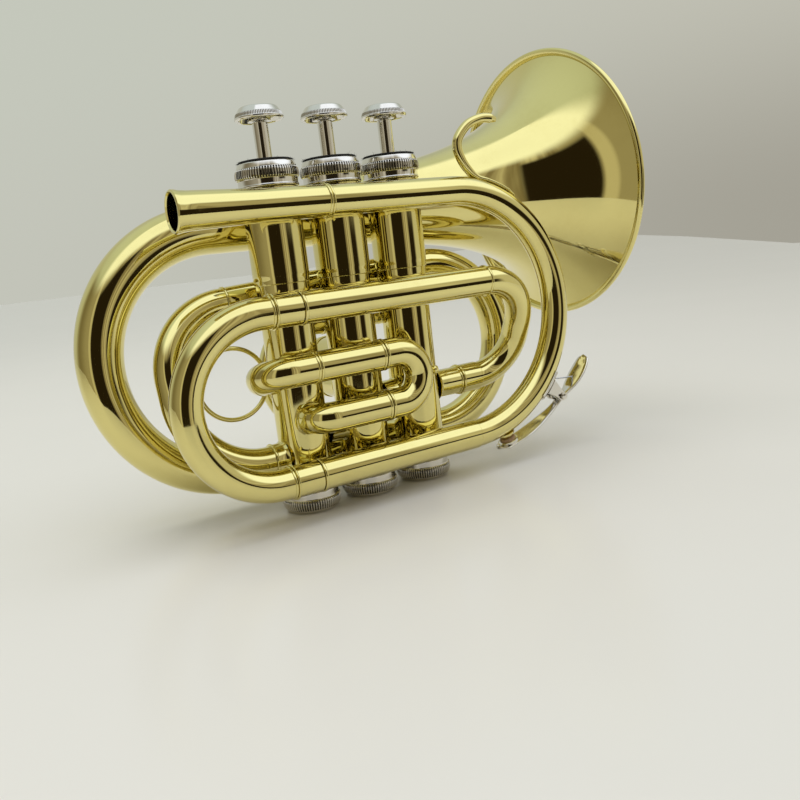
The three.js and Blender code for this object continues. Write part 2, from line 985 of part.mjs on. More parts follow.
function makeTuningBow() {
  const lower = at(tuning.lowerFerruleX - seatGap, near.y, near.lowerHeight);
  const body = new Route(lower, at(-1, 0, 0), tuning.bowRadius, tuning.bowBore);
  body.straight(tuning.lowerFerruleX - seatGap - tuning.bowCentreX);
  halfTurn(body, at(-1, 0, 0), at(tuning.bowCentreX, near.y, near.crookHeight));
  body.straight(tuning.upperFerruleX - seatGap - tuning.bowCentreX);
  return pipe(body);
}

function makeTuningLeg(startX, height) {
  const body = new Route(at(startX, near.y, height), xAxis, tuning.ferruleRadius, tuning.legBore);
  body.ring(tuning.ringRise, tuning.ringWidth);
  body.straight(tuning.ferruleLength - tuning.ringWidth);
  body.size(tuning.legRadius);
  body.straight(tuning.legLength);
  return pipe(body);
}

function makeSmallBow() {
  const start = at(entry.buttX + seatGap, near.y, near.crookHeight);
  const across = at(0, -near.y, entry.height - near.crookHeight);
  const upperBend = entry.frontX - start.x;
  const lowerBend = entry.frontX - entry.ferruleFrontX - seatGap;
  const axis = new THREE.Vector3().crossVectors(xAxis, across);
  const body = new Route(start, xAxis, entry.radius, entry.bore);
  body.bend(axis, 90, upperBend);
  body.straight(across.length() - upperBend - lowerBend);
  body.bend(axis, 90, lowerBend);
  return pipe(body);
}

function makeEntryFerrule() {
  const start = at(entry.ferruleFrontX, 0, entry.height);
  const body = new Route(start, at(-1, 0, 0), entry.ferruleRadius, entry.bore);
  body.straight(entry.ferruleFrontX - entry.ferruleRearX - entry.ringWidth);
  body.ring(entry.ringRise, entry.ringWidth);
  return pipe(body);
}

function makeEntryTube() {
  const frontX = entry.ferruleRearX - seatGap;
  const body = new Route(at(frontX, 0, entry.height), at(-1, 0, 0), entry.radius, entry.bore);
  body.ring(entry.ringRise, entry.ringWidth);
  body.straight(frontX - entry.ringWidth - valveX(3) - valve.casingBore);
  return trimmedAtCasing(pipe(body), 3);
}

// Pipes of the bell side

function makeExitFerrule() {
  const startX = valveX(1) - valve.casingBore;
  const body = new Route(at(startX, 0, exit.height), at(-1, 0, 0), exit.ferruleRadius, exit.bore);
  body.straight(startX - exit.ferruleRearX - exit.ringWidth);
  body.ring(exit.ringRise, exit.ringWidth);
  return trimmedAtCasing(pipe(body), 1);
}

function makeReturnBow() {
  const start = at(exit.ferruleRearX - seatGap, 0, exit.height);
  const across = at(0, tail.rearY, tail.rearHeight - exit.height);
  const axis = new THREE.Vector3().crossVectors(at(-1, 0, 0), across);
  const body = new Route(start, at(-1, 0, 0), exit.radius, exit.bore);
  body.straight(start.x - exit.bowRearX - exit.lowerBendRadius);
  body.bend(axis, 90, exit.lowerBendRadius);
  body.straight(across.length() - exit.lowerBendRadius - exit.upperBendRadius);
  body.bend(axis, 90, exit.upperBendRadius);
  body.straight(tail.rearX - seatGap - exit.bowRearX - exit.upperBendRadius);
  return pipe(body);
}

function makeBellTail() {
  const rear = at(tail.rearX, tail.rearY, tail.rearHeight);
  const front = at(tail.frontX, tail.frontY, tail.frontHeight);
  const slope = front.clone().sub(rear);
  const body = new Route(rear, slope, tail.radius, tail.bore);
  body.ring(exit.ringRise, exit.ringWidth);
  body.outer = tail.frontRadius;
  body.bore = tail.frontBore;
  body.straight(slope.length() - exit.ringWidth);
  const lower = at(tail.frontX, tail.lowerY, tail.lowerHeight);
  halfTurn(body, xAxis, lower, tail.lowerRadius, tail.lowerBore);
  const rearEnd = at(bell.bowX, bell.lowerY, bell.lowerHeight);
  body.direction.copy(rearEnd.clone().sub(body.position).normalize());
  body.outer = bell.lowerRadius;
  body.bore = bell.lowerRadius - bell.wall;
  body.straight(rearEnd.distanceTo(body.position) - seatGap - exit.ringWidth);
  body.ring(exit.ringRise, exit.ringWidth);
  return pipe(body);
}

// The bell's radius grows by a power law up to the rim
function flareRadius(share) {
  const length = bell.rimX - bell.bowX;
  const reach = length + bell.flareOffset;
  const scale = (bell.rimRadius - bell.rearRadius) /
    (bell.flareOffset ** -bell.flarePower - reach ** -bell.flarePower);
  const distance = reach - share * length;
  return bell.rearRadius + scale * (distance ** -bell.flarePower - reach ** -bell.flarePower);
}

function makeBell() {
  const start = at(bell.bowX, bell.lowerY, bell.lowerHeight);
  const body = new Route(start, at(-1, 0, 0), bell.lowerRadius, bell.lowerRadius - bell.wall);
  const top = at(bell.bowX, bell.upperY, bell.upperHeight);
  halfTurn(body, at(-1, 0, 0), top, bell.rearRadius, bell.rearRadius - bell.wall);
  const rim = at(bell.rimX, bell.rimY, bell.rimHeight);
  const slope = rim.clone().sub(top);
  const direction = slope.clone().normalize();
  for (const share of flareShares) {
    body.position = top.clone().addScaledVector(slope, share);
    body.direction = direction.clone();
    body.outer = flareRadius(share);
    body.bore = body.outer - bell.wall;
    body.mark();
  }
  const lipCentre = rim.clone().addScaledVector(direction, -bell.lipSetback);
  return toGeometry(toSolid(pipe(body, bell.sides)).add(rolledLip(lipCentre, direction)));
}

// The rim's bead, rolled back over its wire
function rolledLip(centre, axis) {
  const ringRadius = bell.rimRadius - bell.lipInset;
  const side = new THREE.Vector3().crossVectors(axis, yAxis).normalize();
  const rings = [];
  for (let step = 0; step < bell.sides; step += 1) {
    const angle = ((step + 0.5) / bell.sides) * Math.PI * 2;
    const spoke = yAxis.clone().multiplyScalar(Math.cos(angle)).addScaledVector(side, Math.sin(angle));
    const ring = [];
    for (let corner = 0; corner < rodSides; corner += 1) {
      const tilt = (corner / rodSides) * Math.PI * 2;
      const point = centre.clone().addScaledVector(spoke, ringRadius + Math.cos(tilt) * bell.lipRadius);
      point.addScaledVector(axis, -Math.sin(tilt) * bell.lipRadius);
      ring.push(point);
    }
    rings.push(ring);
  }
  return toSolid(closedStrip(rings, true));
}

// Valve slides

// A crook's leg: a ferrule that stops at the outer tube's mouth and the thinner tube that runs inside
function addLeg(route, heading, sizes) {
  route.direction.copy(heading);
  route.mark();
  route.straight(sizes.ferruleLength);
  route.size(sizes.legRadius);
  route.straight(sizes.legLength);
  return route;
}

function makeCrook(farTip, heading, across, sizes) {
  const body = new Route(farTip, heading, sizes.legRadius, sizes.legBore);
  body.straight(sizes.legLength);
  body.size(sizes.radius);
  body.straight(sizes.ferruleLength);
  const end = body.position.clone().add(across);
  halfTurn(body, heading, end);
  return addLeg(body, heading.clone().negate(), sizes);
}

function withKnob(geometry, apex, heading, sizes) {
  const neck = apex.clone().addScaledVector(heading, sizes.radius - sizes.ringRise);
  const tip = neck.clone().addScaledVector(heading, sizes.knobLength);
  return toGeometry(toSolid(geometry).add(bar(neck, tip, sizes.knobRadius, plugSides)));
}

function makeFirstTurn() {
  const body = new Route(at(first.turnX, 0, first.turnHeight), at(-1, 0, 0), first.radius, first.bore);
  halfTurn(body, at(-1, 0, 0), at(first.turnX, first.y, first.upperHeight));
  body.straight(first.jointX - seatGap - first.turnX - first.ringWidth);
  body.ring(first.ringRise, first.ringWidth);
  return trimmedAtCasing(pipe(body), 1);
}

function makeFirstUpperTube() {
  const body = new Route(at(first.jointX, first.y, first.upperHeight), xAxis, first.radius, first.bore);
  body.ring(first.ringRise, first.ringWidth);
  body.straight(first.mouthX - first.jointX - first.ringWidth * 2);
  body.ring(first.ringRise, first.ringWidth);
  return pipe(body);
}

function makeFirstLowerTube() {
  const mouth = at(first.mouthX, first.y, first.lowerHeight);
  const body = new Route(mouth, at(-1, 0, 0), first.radius, first.bore);
  body.ring(first.ringRise, first.ringWidth);
  body.straight(first.mouthX - first.ringWidth - valveX(1) - first.elbowRadius);
  body.bend(zAxis, -90, first.elbowRadius);
  body.straight(-first.y - first.elbowRadius - valve.casingBore);
  return trimmedAtCasing(pipe(body), 1);
}

function makeFirstCrook() {
  const tip = at(first.mouthX + seatGap - first.legLength, first.y, first.upperHeight);
  const across = at(0, 0, first.lowerHeight - first.upperHeight);
  const ferruleLength = first.crookX - first.mouthX - seatGap;
  const body = makeCrook(tip, xAxis, across, { ...first, ferruleLength });
  const apexX = first.crookX - across.z / 2;
  const apex = at(apexX, first.y, (first.upperHeight + first.lowerHeight) / 2);
  return withKnob(pipe(body), apex, xAxis, first);
}

function makeSecondTube(height) {
  const body = new Route(at(valveX(2), second.mouthY, height), at(0, -1, 0), second.radius, second.bore);
  body.ring(second.ringRise, second.ringWidth);
  body.straight(second.mouthY - second.ringWidth - valve.casingBore);
  return trimmedAtCasing(pipe(body), 2);
}

function makeSecondCrook() {
  const tip = at(valveX(2), second.mouthY + seatGap - second.legLength, second.upperHeight);
  const across = at(0, 0, second.lowerHeight - second.upperHeight);
  const body = makeCrook(tip, yAxis, across, second);
  const apexY = second.mouthY + seatGap + second.ferruleLength - across.z / 2;
  const apex = at(valveX(2), apexY, (second.upperHeight + second.lowerHeight) / 2);
  return withKnob(pipe(body), apex, yAxis, second);
}

function makeThirdTube(height) {
  const body = new Route(at(third.mouthX, third.y, height), xAxis, third.radius, third.bore);
  body.ring(third.ringRise, third.ringWidth);
  body.straight(valveX(3) - third.elbowRadius - third.mouthX - third.ringWidth);
  body.bend(zAxis, -90, third.elbowRadius);
  body.straight(third.y - third.elbowRadius - valve.casingBore);
  return trimmedAtCasing(pipe(body), 3);
}

function makeThirdCrook() {
  const tip = at(third.mouthX - seatGap + third.legLength, third.y, thirdUpperHeight);
  const across = at(0, 0, third.lowerHeight - thirdUpperHeight);
  return pipe(makeCrook(tip, at(-1, 0, 0), across, third));
}

function makeKnuckle(number, height) {
  const body = new Route(at(valveX(number), 0, height), xAxis, knuckle.radius, knuckle.bore);
  body.straight(valve.pitch);
  const solid = toSolid(pipe(body)).subtract(casingClearance(number)).subtract(casingClearance(number + 1));
  return toGeometry(solid);
}

// Finger fittings

function makeThumbRing() {
  const reach = valve.casingRadius + seatGap;
  const footX = valveX(1) - Math.sqrt(reach ** 2 - thumbRing.y ** 2);
  const centre = at(footX - thumbRing.standOff - thumbRing.ringRadius, thumbRing.y, thumbRing.height);
  const geometry = new THREE.TorusGeometry(thumbRing.ringRadius, thumbRing.wireRadius, rodSides, ringSteps);
  geometry.rotateX(Math.PI / 2);
  geometry.translate(centre.x, centre.y, centre.z);
  const inner = at(footX - thumbRing.standOff, thumbRing.y, thumbRing.height);
  const outer = at(valveX(1), thumbRing.y, thumbRing.height);
  const foot = bar(inner, outer, thumbRing.footRadius, plugSides);
  return toGeometry(toSolid(geometry).add(foot).subtract(casingClearance(1)));
}

function makeHook() {
  const footRise = near.leadpipeRadius + seatGap + hook.footHalfThickness;
  const footStops = [0, 1 / 3, 2 / 3, 1];
  const foot = footStops.map((share) => {
    return bigBowPoint(THREE.MathUtils.lerp(hook.footFrontAngle, hook.footRearAngle, share), footRise);
  });
  const stem = hookShares.map(([along, up]) => {
    return at(near.bowCentreX + along * hook.reach, near.y, near.leadpipeHeight + up * hook.rise);
  });
  const widths = foot.map(() => hook.footHalfWidth).concat(stem.map(() => hook.radius));
  const thicknesses = foot.map(() => hook.footHalfThickness).concat(stem.map(() => hook.radius));
  return toGeometry(strap([...foot, ...stem], widths, thicknesses).subtract(bigBowClearance()));
}

// Water key

// A point outside the big bow, at an angle above the X axis and a distance from the pipe's centre line
function bigBowPoint(degrees, rise, y = near.y) {
  const angle = THREE.MathUtils.degToRad(degrees);
  const reach = bowRadius + rise;
  return at(near.bowCentreX + Math.cos(angle) * reach, y, bowCentreHeight + Math.sin(angle) * reach);
}

// A box that stands on the big bow at the hinge, from one rise to another
function hingeBlock(low, high, y, thickness, length) {
  const geometry = new THREE.BoxGeometry(high - low, thickness, length);
  geometry.rotateY(THREE.MathUtils.degToRad(-waterKey.pivotAngle));
  const centre = bigBowPoint(waterKey.pivotAngle, (low + high) / 2, y);
  geometry.translate(centre.x, centre.y, centre.z);
  return toSolid(geometry);
}

// A bar along Y through the hinge, from one Y to another
function hingeBar(fromY, toY, radius) {
  const rise = near.leadpipeRadius + waterKey.pivotRise;
  const from = bigBowPoint(waterKey.pivotAngle, rise, fromY);
  const to = bigBowPoint(waterKey.pivotAngle, rise, toY);
  return bar(from, to, radius, plugSides);
}

function pinBar(length, radius) {
  return hingeBar(near.y - length / 2, near.y + length / 2, radius);
}

function makeNipple() {
  const low = near.leadpipeRadius + seatGap;
  const inner = bigBowPoint(waterKey.corkAngle, low);
  const outer = bigBowPoint(waterKey.corkAngle, low + waterKey.nippleRise);
  const body = new Route(inner, outer.clone().sub(inner), waterKey.nippleRadius, waterKey.nippleBore);
  body.straight(waterKey.nippleRise);
  return pipe(body, plugSides);
}

function makeCork() {
  const low = near.leadpipeRadius + seatGap + waterKey.nippleRise + seatGap;
  const inner = bigBowPoint(waterKey.corkAngle, low);
  const outer = bigBowPoint(waterKey.corkAngle, low + waterKey.corkHeight);
  return toGeometry(bar(inner, outer, waterKey.corkRadius, plugSides));
}

function makeSaddle() {
  const inner = near.leadpipeRadius + seatGap;
  const outer = inner + waterKey.saddleThickness;
  const rearAngle = waterKey.pivotAngle + waterKey.saddleHalfAngle;
  const start = bigBowPoint(rearAngle, 0);
  const heading = bigBowPoint(rearAngle - 90, 0).sub(bigBowPoint(rearAngle - 90, -bowRadius));
  const sleeve = new Route(start, heading, outer, 0);
  sleeve.bend(yAxis, waterKey.saddleHalfAngle * 2, bowRadius);
  const reach = outer + cutOverrun;
  const keep = hingeBlock(waterKey.saddleWrap, reach, near.y, reach * 2, reach * 2);
  let body = toSolid(rod(sleeve, pipeSides)).intersect(keep);
  const earStart = waterKey.barrelLength / 2 + seatGap;
  const earMiddle = earStart + waterKey.earThickness / 2;
  const pivotRise = near.leadpipeRadius + waterKey.pivotRise;
  for (const sign of [-1, 1]) {
    const ear = hingeBar(
      near.y + sign * earMiddle - waterKey.earThickness / 2,
      near.y + sign * earMiddle + waterKey.earThickness / 2,
      waterKey.earRadius,
    );
    const post = hingeBlock(
      waterKey.saddleWrap,
      pivotRise,
      near.y + sign * earMiddle,
      waterKey.earThickness,
      waterKey.earRadius * 2,
    );
    body = body.add(ear).add(post);
  }
  body = body.subtract(bigBowClearance());
  return toGeometry(body.subtract(pinBar(waterKey.pinLength * 2, waterKey.pinRadius + runningGap)));
}

function makeLever() {
  const corkTop = near.leadpipeRadius + seatGap * 3 + waterKey.nippleRise + waterKey.corkHeight;
  const baseRise = corkTop + waterKey.bladeHalfThickness;
  const tipRise = near.leadpipeRadius + waterKey.touchRise;
  const points = leverShares.map(([along, up]) => {
    const angle = THREE.MathUtils.lerp(waterKey.heelAngle, waterKey.touchAngle, along);
    return bigBowPoint(angle, THREE.MathUtils.lerp(baseRise, tipRise, up));
  });
  const widths = leverShares.map((row) => row[2] * waterKey.bladeHalfWidth);
  const blade = strap(points, widths, widths.map(() => waterKey.bladeHalfThickness));
  const cupBottom = bigBowPoint(waterKey.corkAngle, corkTop);
  const cupTop = bigBowPoint(waterKey.corkAngle, corkTop + waterKey.cupHeight);
  const cup = bar(cupBottom, cupTop, waterKey.cupRadius, plugSides);
  const barrel = pinBar(waterKey.barrelLength, waterKey.barrelRadius);
  const body = blade.add(cup).add(barrel);
  return toGeometry(body.subtract(pinBar(waterKey.pinLength, waterKey.pinRadius + runningGap)));
}

for (let number = 1; number <= valve.count; number += 1) {
  addPiece(`valve_casing_${number}`, makeCasing(number), lacqueredBrass);
  addPiece(`bottom_cap_${number}`, makeBottomCap(number), nickelPlate);
  addPiece(`top_cap_${number}`, makeTopCap(number), nickelPlate);
  addPiece(`top_felt_${number}`, makeFelt(number), blackFelt);
  addPiece(`finger_button_${number}`, makeButton(number), nickelPlate);
  addPiece(`valve_stem_${number}`, makeStem(number), nickelPlate);
  addPiece(`piston_${number}`, makePiston(number), nickelSilver);
  addPiece(`valve_guide_${number}`, makeGuide(number), nylonGuide);
  addPiece(`valve_spring_${number}`, makeSpring(number), springSteel);
}

addPiece('knuckle_1_2', makeKnuckle(1, knuckle.rearHeight), lacqueredBrass);
addPiece('knuckle_2_3', makeKnuckle(2, knuckle.frontHeight), lacqueredBrass);
addPiece('mouthpiece_receiver', makeReceiver(), lacqueredBrass);
addPiece('leadpipe', makeLeadpipe(), lacqueredBrass);
addPiece('lower_run', makeLowerRun(), lacqueredBrass);
addPiece('tuning_bow', makeTuningBow(), lacqueredBrass);
addPiece('tuning_leg_lower', makeTuningLeg(tuning.lowerFerruleX, near.lowerHeight), lacqueredBrass);
addPiece('tuning_leg_upper', makeTuningLeg(tuning.upperFerruleX, near.crookHeight), lacqueredBrass);
addPiece('middle_run', makeMiddleRun(), lacqueredBrass);
addPiece('small_bow', makeSmallBow(), lacqueredBrass);
addPiece('entry_ferrule', makeEntryFerrule(), lacqueredBrass);
addPiece('entry_tube', makeEntryTube(), lacqueredBrass);
addPiece('exit_ferrule', makeExitFerrule(), lacqueredBrass);
addPiece('return_bow', makeReturnBow(), lacqueredBrass);
addPiece('bell_tail', makeBellTail(), lacqueredBrass);
addPiece('bell', makeBell(), lacqueredBrass);
addPiece('first_slide_turn', makeFirstTurn(), lacqueredBrass);
addPiece('first_slide_upper_tube', makeFirstUpperTube(), lacqueredBrass);
addPiece('first_slide_lower_tube', makeFirstLowerTube(), lacqueredBrass);
addPiece('first_slide_crook', makeFirstCrook(), lacqueredBrass);
addPiece('second_slide_upper_tube', makeSecondTube(second.upperHeight), lacqueredBrass);
addPiece('second_slide_lower_tube', makeSecondTube(second.lowerHeight), lacqueredBrass);
addPiece('second_slide_crook', makeSecondCrook(), lacqueredBrass);
addPiece('third_slide_upper_tube', makeThirdTube(thirdUpperHeight), lacqueredBrass);
addPiece('third_slide_lower_tube', makeThirdTube(third.lowerHeight), lacqueredBrass);
addPiece('third_slide_crook', makeThirdCrook(), lacqueredBrass);
addPiece('thumb_ring', makeThumbRing(), lacqueredBrass);
addPiece('pinky_hook', makeHook(), lacqueredBrass);
addPiece('water_key_nipple', makeNipple(), lacqueredBrass);
addPiece('water_key_saddle', makeSaddle(), nickelPlate);
addPiece('water_key_pin', toGeometry(pinBar(waterKey.pinLength, waterKey.pinRadius)), nickelPlate);
addPiece('water_key_lever', makeLever(), nickelPlate);
addPiece('water_key_cork', makeCork(), corkPad);

export default trumpet;
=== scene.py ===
"""Pocket trumpet in lacquered brass and nickel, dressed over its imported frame.

Lengths are millimetres, written once per size, and every mesh is handed to Blender in metres.
X runs towards the bell rim, Y towards the player's left and Z up the valves.
"""
import json
import logging
import math
from dataclasses import dataclass, field
from enum import Enum

import bmesh
import bpy
import numpy as np
from mathutils import Matrix, Vector

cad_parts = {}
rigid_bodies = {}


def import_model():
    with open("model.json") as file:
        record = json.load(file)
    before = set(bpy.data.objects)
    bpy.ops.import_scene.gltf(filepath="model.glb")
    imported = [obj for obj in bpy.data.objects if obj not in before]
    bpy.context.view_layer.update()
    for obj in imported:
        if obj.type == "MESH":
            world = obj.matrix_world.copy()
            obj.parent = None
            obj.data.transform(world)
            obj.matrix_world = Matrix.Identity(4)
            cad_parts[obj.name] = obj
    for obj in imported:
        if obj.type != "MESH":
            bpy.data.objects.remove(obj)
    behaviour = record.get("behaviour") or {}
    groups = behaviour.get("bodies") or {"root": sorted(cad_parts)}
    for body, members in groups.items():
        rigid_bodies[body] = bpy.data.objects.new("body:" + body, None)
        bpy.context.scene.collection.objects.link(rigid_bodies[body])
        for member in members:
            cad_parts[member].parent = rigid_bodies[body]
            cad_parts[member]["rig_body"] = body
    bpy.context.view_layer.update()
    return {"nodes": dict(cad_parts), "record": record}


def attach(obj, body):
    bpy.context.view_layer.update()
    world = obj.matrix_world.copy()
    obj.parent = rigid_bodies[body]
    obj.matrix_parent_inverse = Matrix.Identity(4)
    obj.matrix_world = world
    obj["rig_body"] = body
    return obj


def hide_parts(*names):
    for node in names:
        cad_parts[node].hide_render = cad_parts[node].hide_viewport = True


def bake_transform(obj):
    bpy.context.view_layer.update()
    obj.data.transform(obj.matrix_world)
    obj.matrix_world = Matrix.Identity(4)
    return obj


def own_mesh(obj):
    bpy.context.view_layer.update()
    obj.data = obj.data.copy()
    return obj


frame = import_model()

logging.basicConfig(level=logging.INFO, format="%(message)s")
LOG = logging.getLogger("pocket_trumpet")

Array = np.ndarray
Spot = Colour = tuple[float, float, float]
Pair = tuple[float, float]
Pairs = tuple[Pair, ...]
Row = tuple[float, ...]
Link = bpy.types.NodeSocket
MM = 0.001
SEAM = 0.1  # room that solder fills between two pieces
X_AXIS, Y_AXIS, Z_AXIS = np.eye(3)


def at(x: float, y: float, z: float) -> Array:
    """A point or direction."""
    return np.array([x, y, z], float)


def unit(vectors: Array) -> Array:
    """Each vector scaled to length one."""
    return vectors / np.linalg.norm(vectors, axis=-1, keepdims=True)


def circle(sides: int) -> Array:
    """Angles spaced evenly round a circle."""
    return np.arange(sides) * 2 * math.pi / sides


def spokes(angles: Array, first: Array, second: Array) -> Array:
    """Cosine along the first direction plus sine along the second, for each angle."""
    return np.cos(angles)[:, None] * first + np.sin(angles)[:, None] * second


def turned(vector: Array, axis: Array, angles: Array) -> Array:
    """A vector turned about a unit axis by each angle.

    The part along the axis stays. The rest is itself times the cosine and its quarter turn times
    the sine.
    """
    along = axis * (axis @ vector)
    return along + spokes(angles, vector - along, np.cross(axis, vector))


def placed(name: str, data: bpy.types.ID) -> bpy.types.Object:
    """A new object in the scene that shows the data."""
    made = bpy.data.objects.new(name, data)
    bpy.context.scene.collection.objects.link(made)
    return made


# Centre lines


@dataclass
class Span:
    """One straight or one arc of a centre line.

    Args:
        length: length along the centre line.
        origin: where it starts.
        heading: unit direction at its start.
        normal: unit vector across it at its start.
        axis: axis that an arc turns about, or None on a straight.
        radius: radius of an arc.
    """

    length: float
    origin: Array
    heading: Array
    normal: Array
    axis: Array | None = None
    radius: float = 0.0

    def sample(self, travel: Array) -> Array:
        """Points, headings and normals at lengths from the span's start.

        On an arc the angle is the travelled length over the radius, and the point is the arc's
        centre plus the turned spoke.
        """
        if self.axis is None:
            frames = np.stack([self.origin, self.heading, self.normal])[:, None].repeat(len(travel), axis=1)
            frames[0] += travel[:, None] * self.heading
            return frames
        centre = self.origin + np.cross(self.axis, self.heading) * self.radius
        vectors = self.origin - centre, self.heading, self.normal
        frames = np.stack([turned(vector, self.axis, travel / self.radius) for vector in vectors])
        frames[0] += centre
        return frames


class Route:
    """A pipe's centre line, made of straights and arcs and measured by its length."""

    def __init__(self, start: Array, heading: Array) -> None:
        """Starts at a point with a heading."""
        self.spans: list[Span] = []
        self.tip = np.array(start, float)
        self.normal = Z_AXIS if abs(unit(heading)[2]) < 0.9 else X_AXIS
        self.aim(heading)

    @property
    def length(self) -> float:
        """Length of the whole centre line."""
        return sum(span.length for span in self.spans)

    def aim(self, heading: Array) -> "Route":
        """Turns the tip to a heading and squares its normal to it."""
        self.heading = unit(heading)
        self.normal = unit(self.normal - self.heading * (self.normal @ self.heading))
        return self

    def straight(self, length: float) -> "Route":
        """Adds a straight."""
        return self._append(Span(length, self.tip, self.heading, self.normal))

    def bend(self, axis: Array, degrees: float, radius: float) -> "Route":
        """Adds an arc that turns about the axis by the right-hand rule."""
        turn = unit(axis) * math.copysign(1.0, degrees)
        length = math.radians(abs(degrees)) * radius
        return self._append(Span(length, self.tip, self.heading, self.normal, turn, radius))

    def half_turn(self, target: Array) -> "Route":
        """Adds a half circle that ends at the target."""
        across = target - self.tip
        return self.bend(np.cross(self.heading, across), 180.0, float(np.linalg.norm(across)) / 2)

    def _append(self, span: Span) -> "Route":
        """Keeps a span and moves the tip to its end."""
        self.spans.append(span)
        self.tip, self.heading, self.normal = span.sample(np.array([span.length]))[:, 0]
        return self

    def sample(self, travel: Array) -> Array:
        """Points, headings and normals at lengths along the whole route."""
        starts = np.cumsum([0.0] + [span.length for span in self.spans[:-1]])
        place = np.searchsorted(starts, travel, side="right") - 1
        frames = np.zeros((3, len(travel), 3))
        for number, span in enumerate(self.spans):
            frames[:, place == number] = span.sample(travel[place == number] - starts[number])
        return frames

    def stations(self, arc_degrees: float = 3.0, step: float = 8.0) -> Array:
        """Lengths at which a skin follows the route closely: few on straights, many on arcs."""
        marks, begin = [np.zeros(1)], 0.0
        for span in self.spans:
            pitch = step if span.axis is None else math.radians(arc_degrees) * span.radius
            count = max(1, math.ceil(span.length / pitch))
            marks.append(begin + span.length * np.arange(1, count + 1) / count)
            begin += span.length
        return np.concatenate(marks)


class Outline:
    """Radius along a pipe, built run by run from its start.

    A ring is a raised bead's width and rise. A fillet is a list of pairs: distance from the
    pipe's end and how much wider the pipe is there.
    """

    def __init__(self, radius: float) -> None:
        """Starts with a radius."""
        self.travel, self.radius = [0.0], [radius]

    @classmethod
    def of(cls, places: Pairs) -> "Outline":
        """An outline through pairs of length and radius, the first at length zero."""
        return cls(places[0][1]).via(places[1:])

    def to(self, travel: float, radius: float | None = None) -> "Outline":
        """A straight line to a length, and to a new radius where one is given."""
        self.travel.append(travel)
        self.radius.append(self.radius[-1] if radius is None else radius)
        return self

    def via(self, places: Pairs) -> "Outline":
        """Straight lines through pairs of length and radius."""
        for travel, radius in places:
            self.to(travel, radius)
        return self

    def bead(self, ring: Pair) -> "Outline":
        """A half-round ring: half an ellipse of its width and rise."""
        begin, base = self.travel[-1], self.radius[-1]
        angles = np.linspace(0, math.pi, 9)[1:]
        self.travel.extend(begin + ring[0] / 2 * (1 - np.cos(angles)))
        self.radius.extend(base + ring[1] * np.sin(angles))
        return self

    def ringed(self, length: float, ring: Pair) -> "Outline":
        """A plain run that ends at the length with a ring."""
        return self.to(length - ring[0]).bead(ring)

    def flared(self, length: float, fillet: Pairs) -> "Outline":
        """A plain run that ends at the length in a fillet of solder."""
        base = self.radius[-1]
        return self.via(tuple((length - back, base + rise) for back, rise in fillet))

    def rings(self, marks: Array) -> tuple[Array, Array]:
        """The outline's own corners together with the marks that lie between them, in order."""
        own = np.array(self.travel)
        between = marks[(marks > own[0]) & (marks < own[-1])]
        between = between[np.abs(between[:, None] - own).min(axis=1) > 0.05]
        travel = np.concatenate([own, between])
        order = np.argsort(travel, kind="stable")
        return travel[order], np.concatenate([self.radius, np.interp(between, own, self.radius)])[order]


# Surfaces


@dataclass
class Surface:
    """Vertices in millimetres and four-sided faces.

    Args:
        points: vertex positions.
        quads: vertex numbers of the faces.
        groove: how deep in a knurl's groove each vertex is, from zero to one.
    """

    points: Array
    quads: Array
    groove: Array | None = None

    def __post_init__(self) -> None:
        """A surface without knurls has no grooves."""
        if self.groove is None:
            self.groove = np.zeros(len(self.points))

    def joined(self, other: "Surface") -> "Surface":
        """This surface and another as one mesh."""
        return Surface(np.concatenate([self.points, other.points]),
                       np.concatenate([self.quads, other.quads + len(self.points)]),
                       np.concatenate([self.groove, other.groove]))


def woven(grid: Array, ring: bool = False) -> Surface:
    """Weaves rows of points into four-sided faces.

    Each face joins a point to its neighbours in the next column and the next row. Every row
    closes on itself.

    Args:
        grid: rows by columns by three.
        ring: whether the last row joins the first.

    Returns:
        The surface.
    """
    here = np.arange(grid.shape[0] * grid.shape[1]).reshape(grid.shape[:2])
    after = np.roll(here, -1, axis=0)
    if not ring:
        here, after = here[:-1], after[:-1]
    quads = np.stack([here, np.roll(here, -1, axis=1), np.roll(after, -1, axis=1), after], axis=-1)
    return Surface(grid.reshape(-1, 3), quads.reshape(-1, 4))


def sections(points: Array, first: Array, second: Array, wide: Array, thick: Array | None = None,
             sides: int = 24, power: float = 1.0) -> Array:
    """Outlines set across a line of points.

    Each is a superellipse: cosine and sine raised to the power, times the half width along the
    first direction and the half thickness along the second.

    Args:
        points: the line.
        first: unit vector of the width, one or one per point.
        second: unit vector of the thickness, one or one per point.
        wide: half width at each point.
        thick: half thickness at each point, or None where it is the half width.
        sides: divisions round an outline.
        power: one for an ellipse, less for a squarer section.

    Returns:
        Points by sides by three.
    """
    angles = circle(sides)
    thick = wide if thick is None else thick
    grid = np.repeat(points[:, None], sides, axis=1)
    for wave, size, way in ((np.cos(angles), wide, first), (np.sin(angles), thick, second)):
        bowed = np.sign(wave) * np.abs(wave) ** power
        grid = grid + size[:, None, None] * bowed[:, None] * np.broadcast_to(way, points.shape)[:, None]
    return grid


def bar(points: Array, first: Array, second: Array, wide: Array, thick: Array | None = None,
        sides: int = 24, power: float = 1.0) -> Surface:
    """A solid bar: sections along a line, drawn to a point at both ends."""
    rows = (np.broadcast_to(row, points.shape) for row in (points, first, second))
    rows = [np.concatenate([row[:1], row, row[-1:]]) for row in rows]
    thick = None if thick is None else np.pad(thick, 1)
    return woven(sections(*rows, np.pad(wide, 1), thick, sides, power))


def circles(route: Route, travel: Array, radius: Array, sides: int) -> Array:
    """Circles across a route, one per length and radius."""
    points, headings, normals = route.sample(travel)
    return sections(points, normals, np.cross(headings, normals), radius, sides=sides)


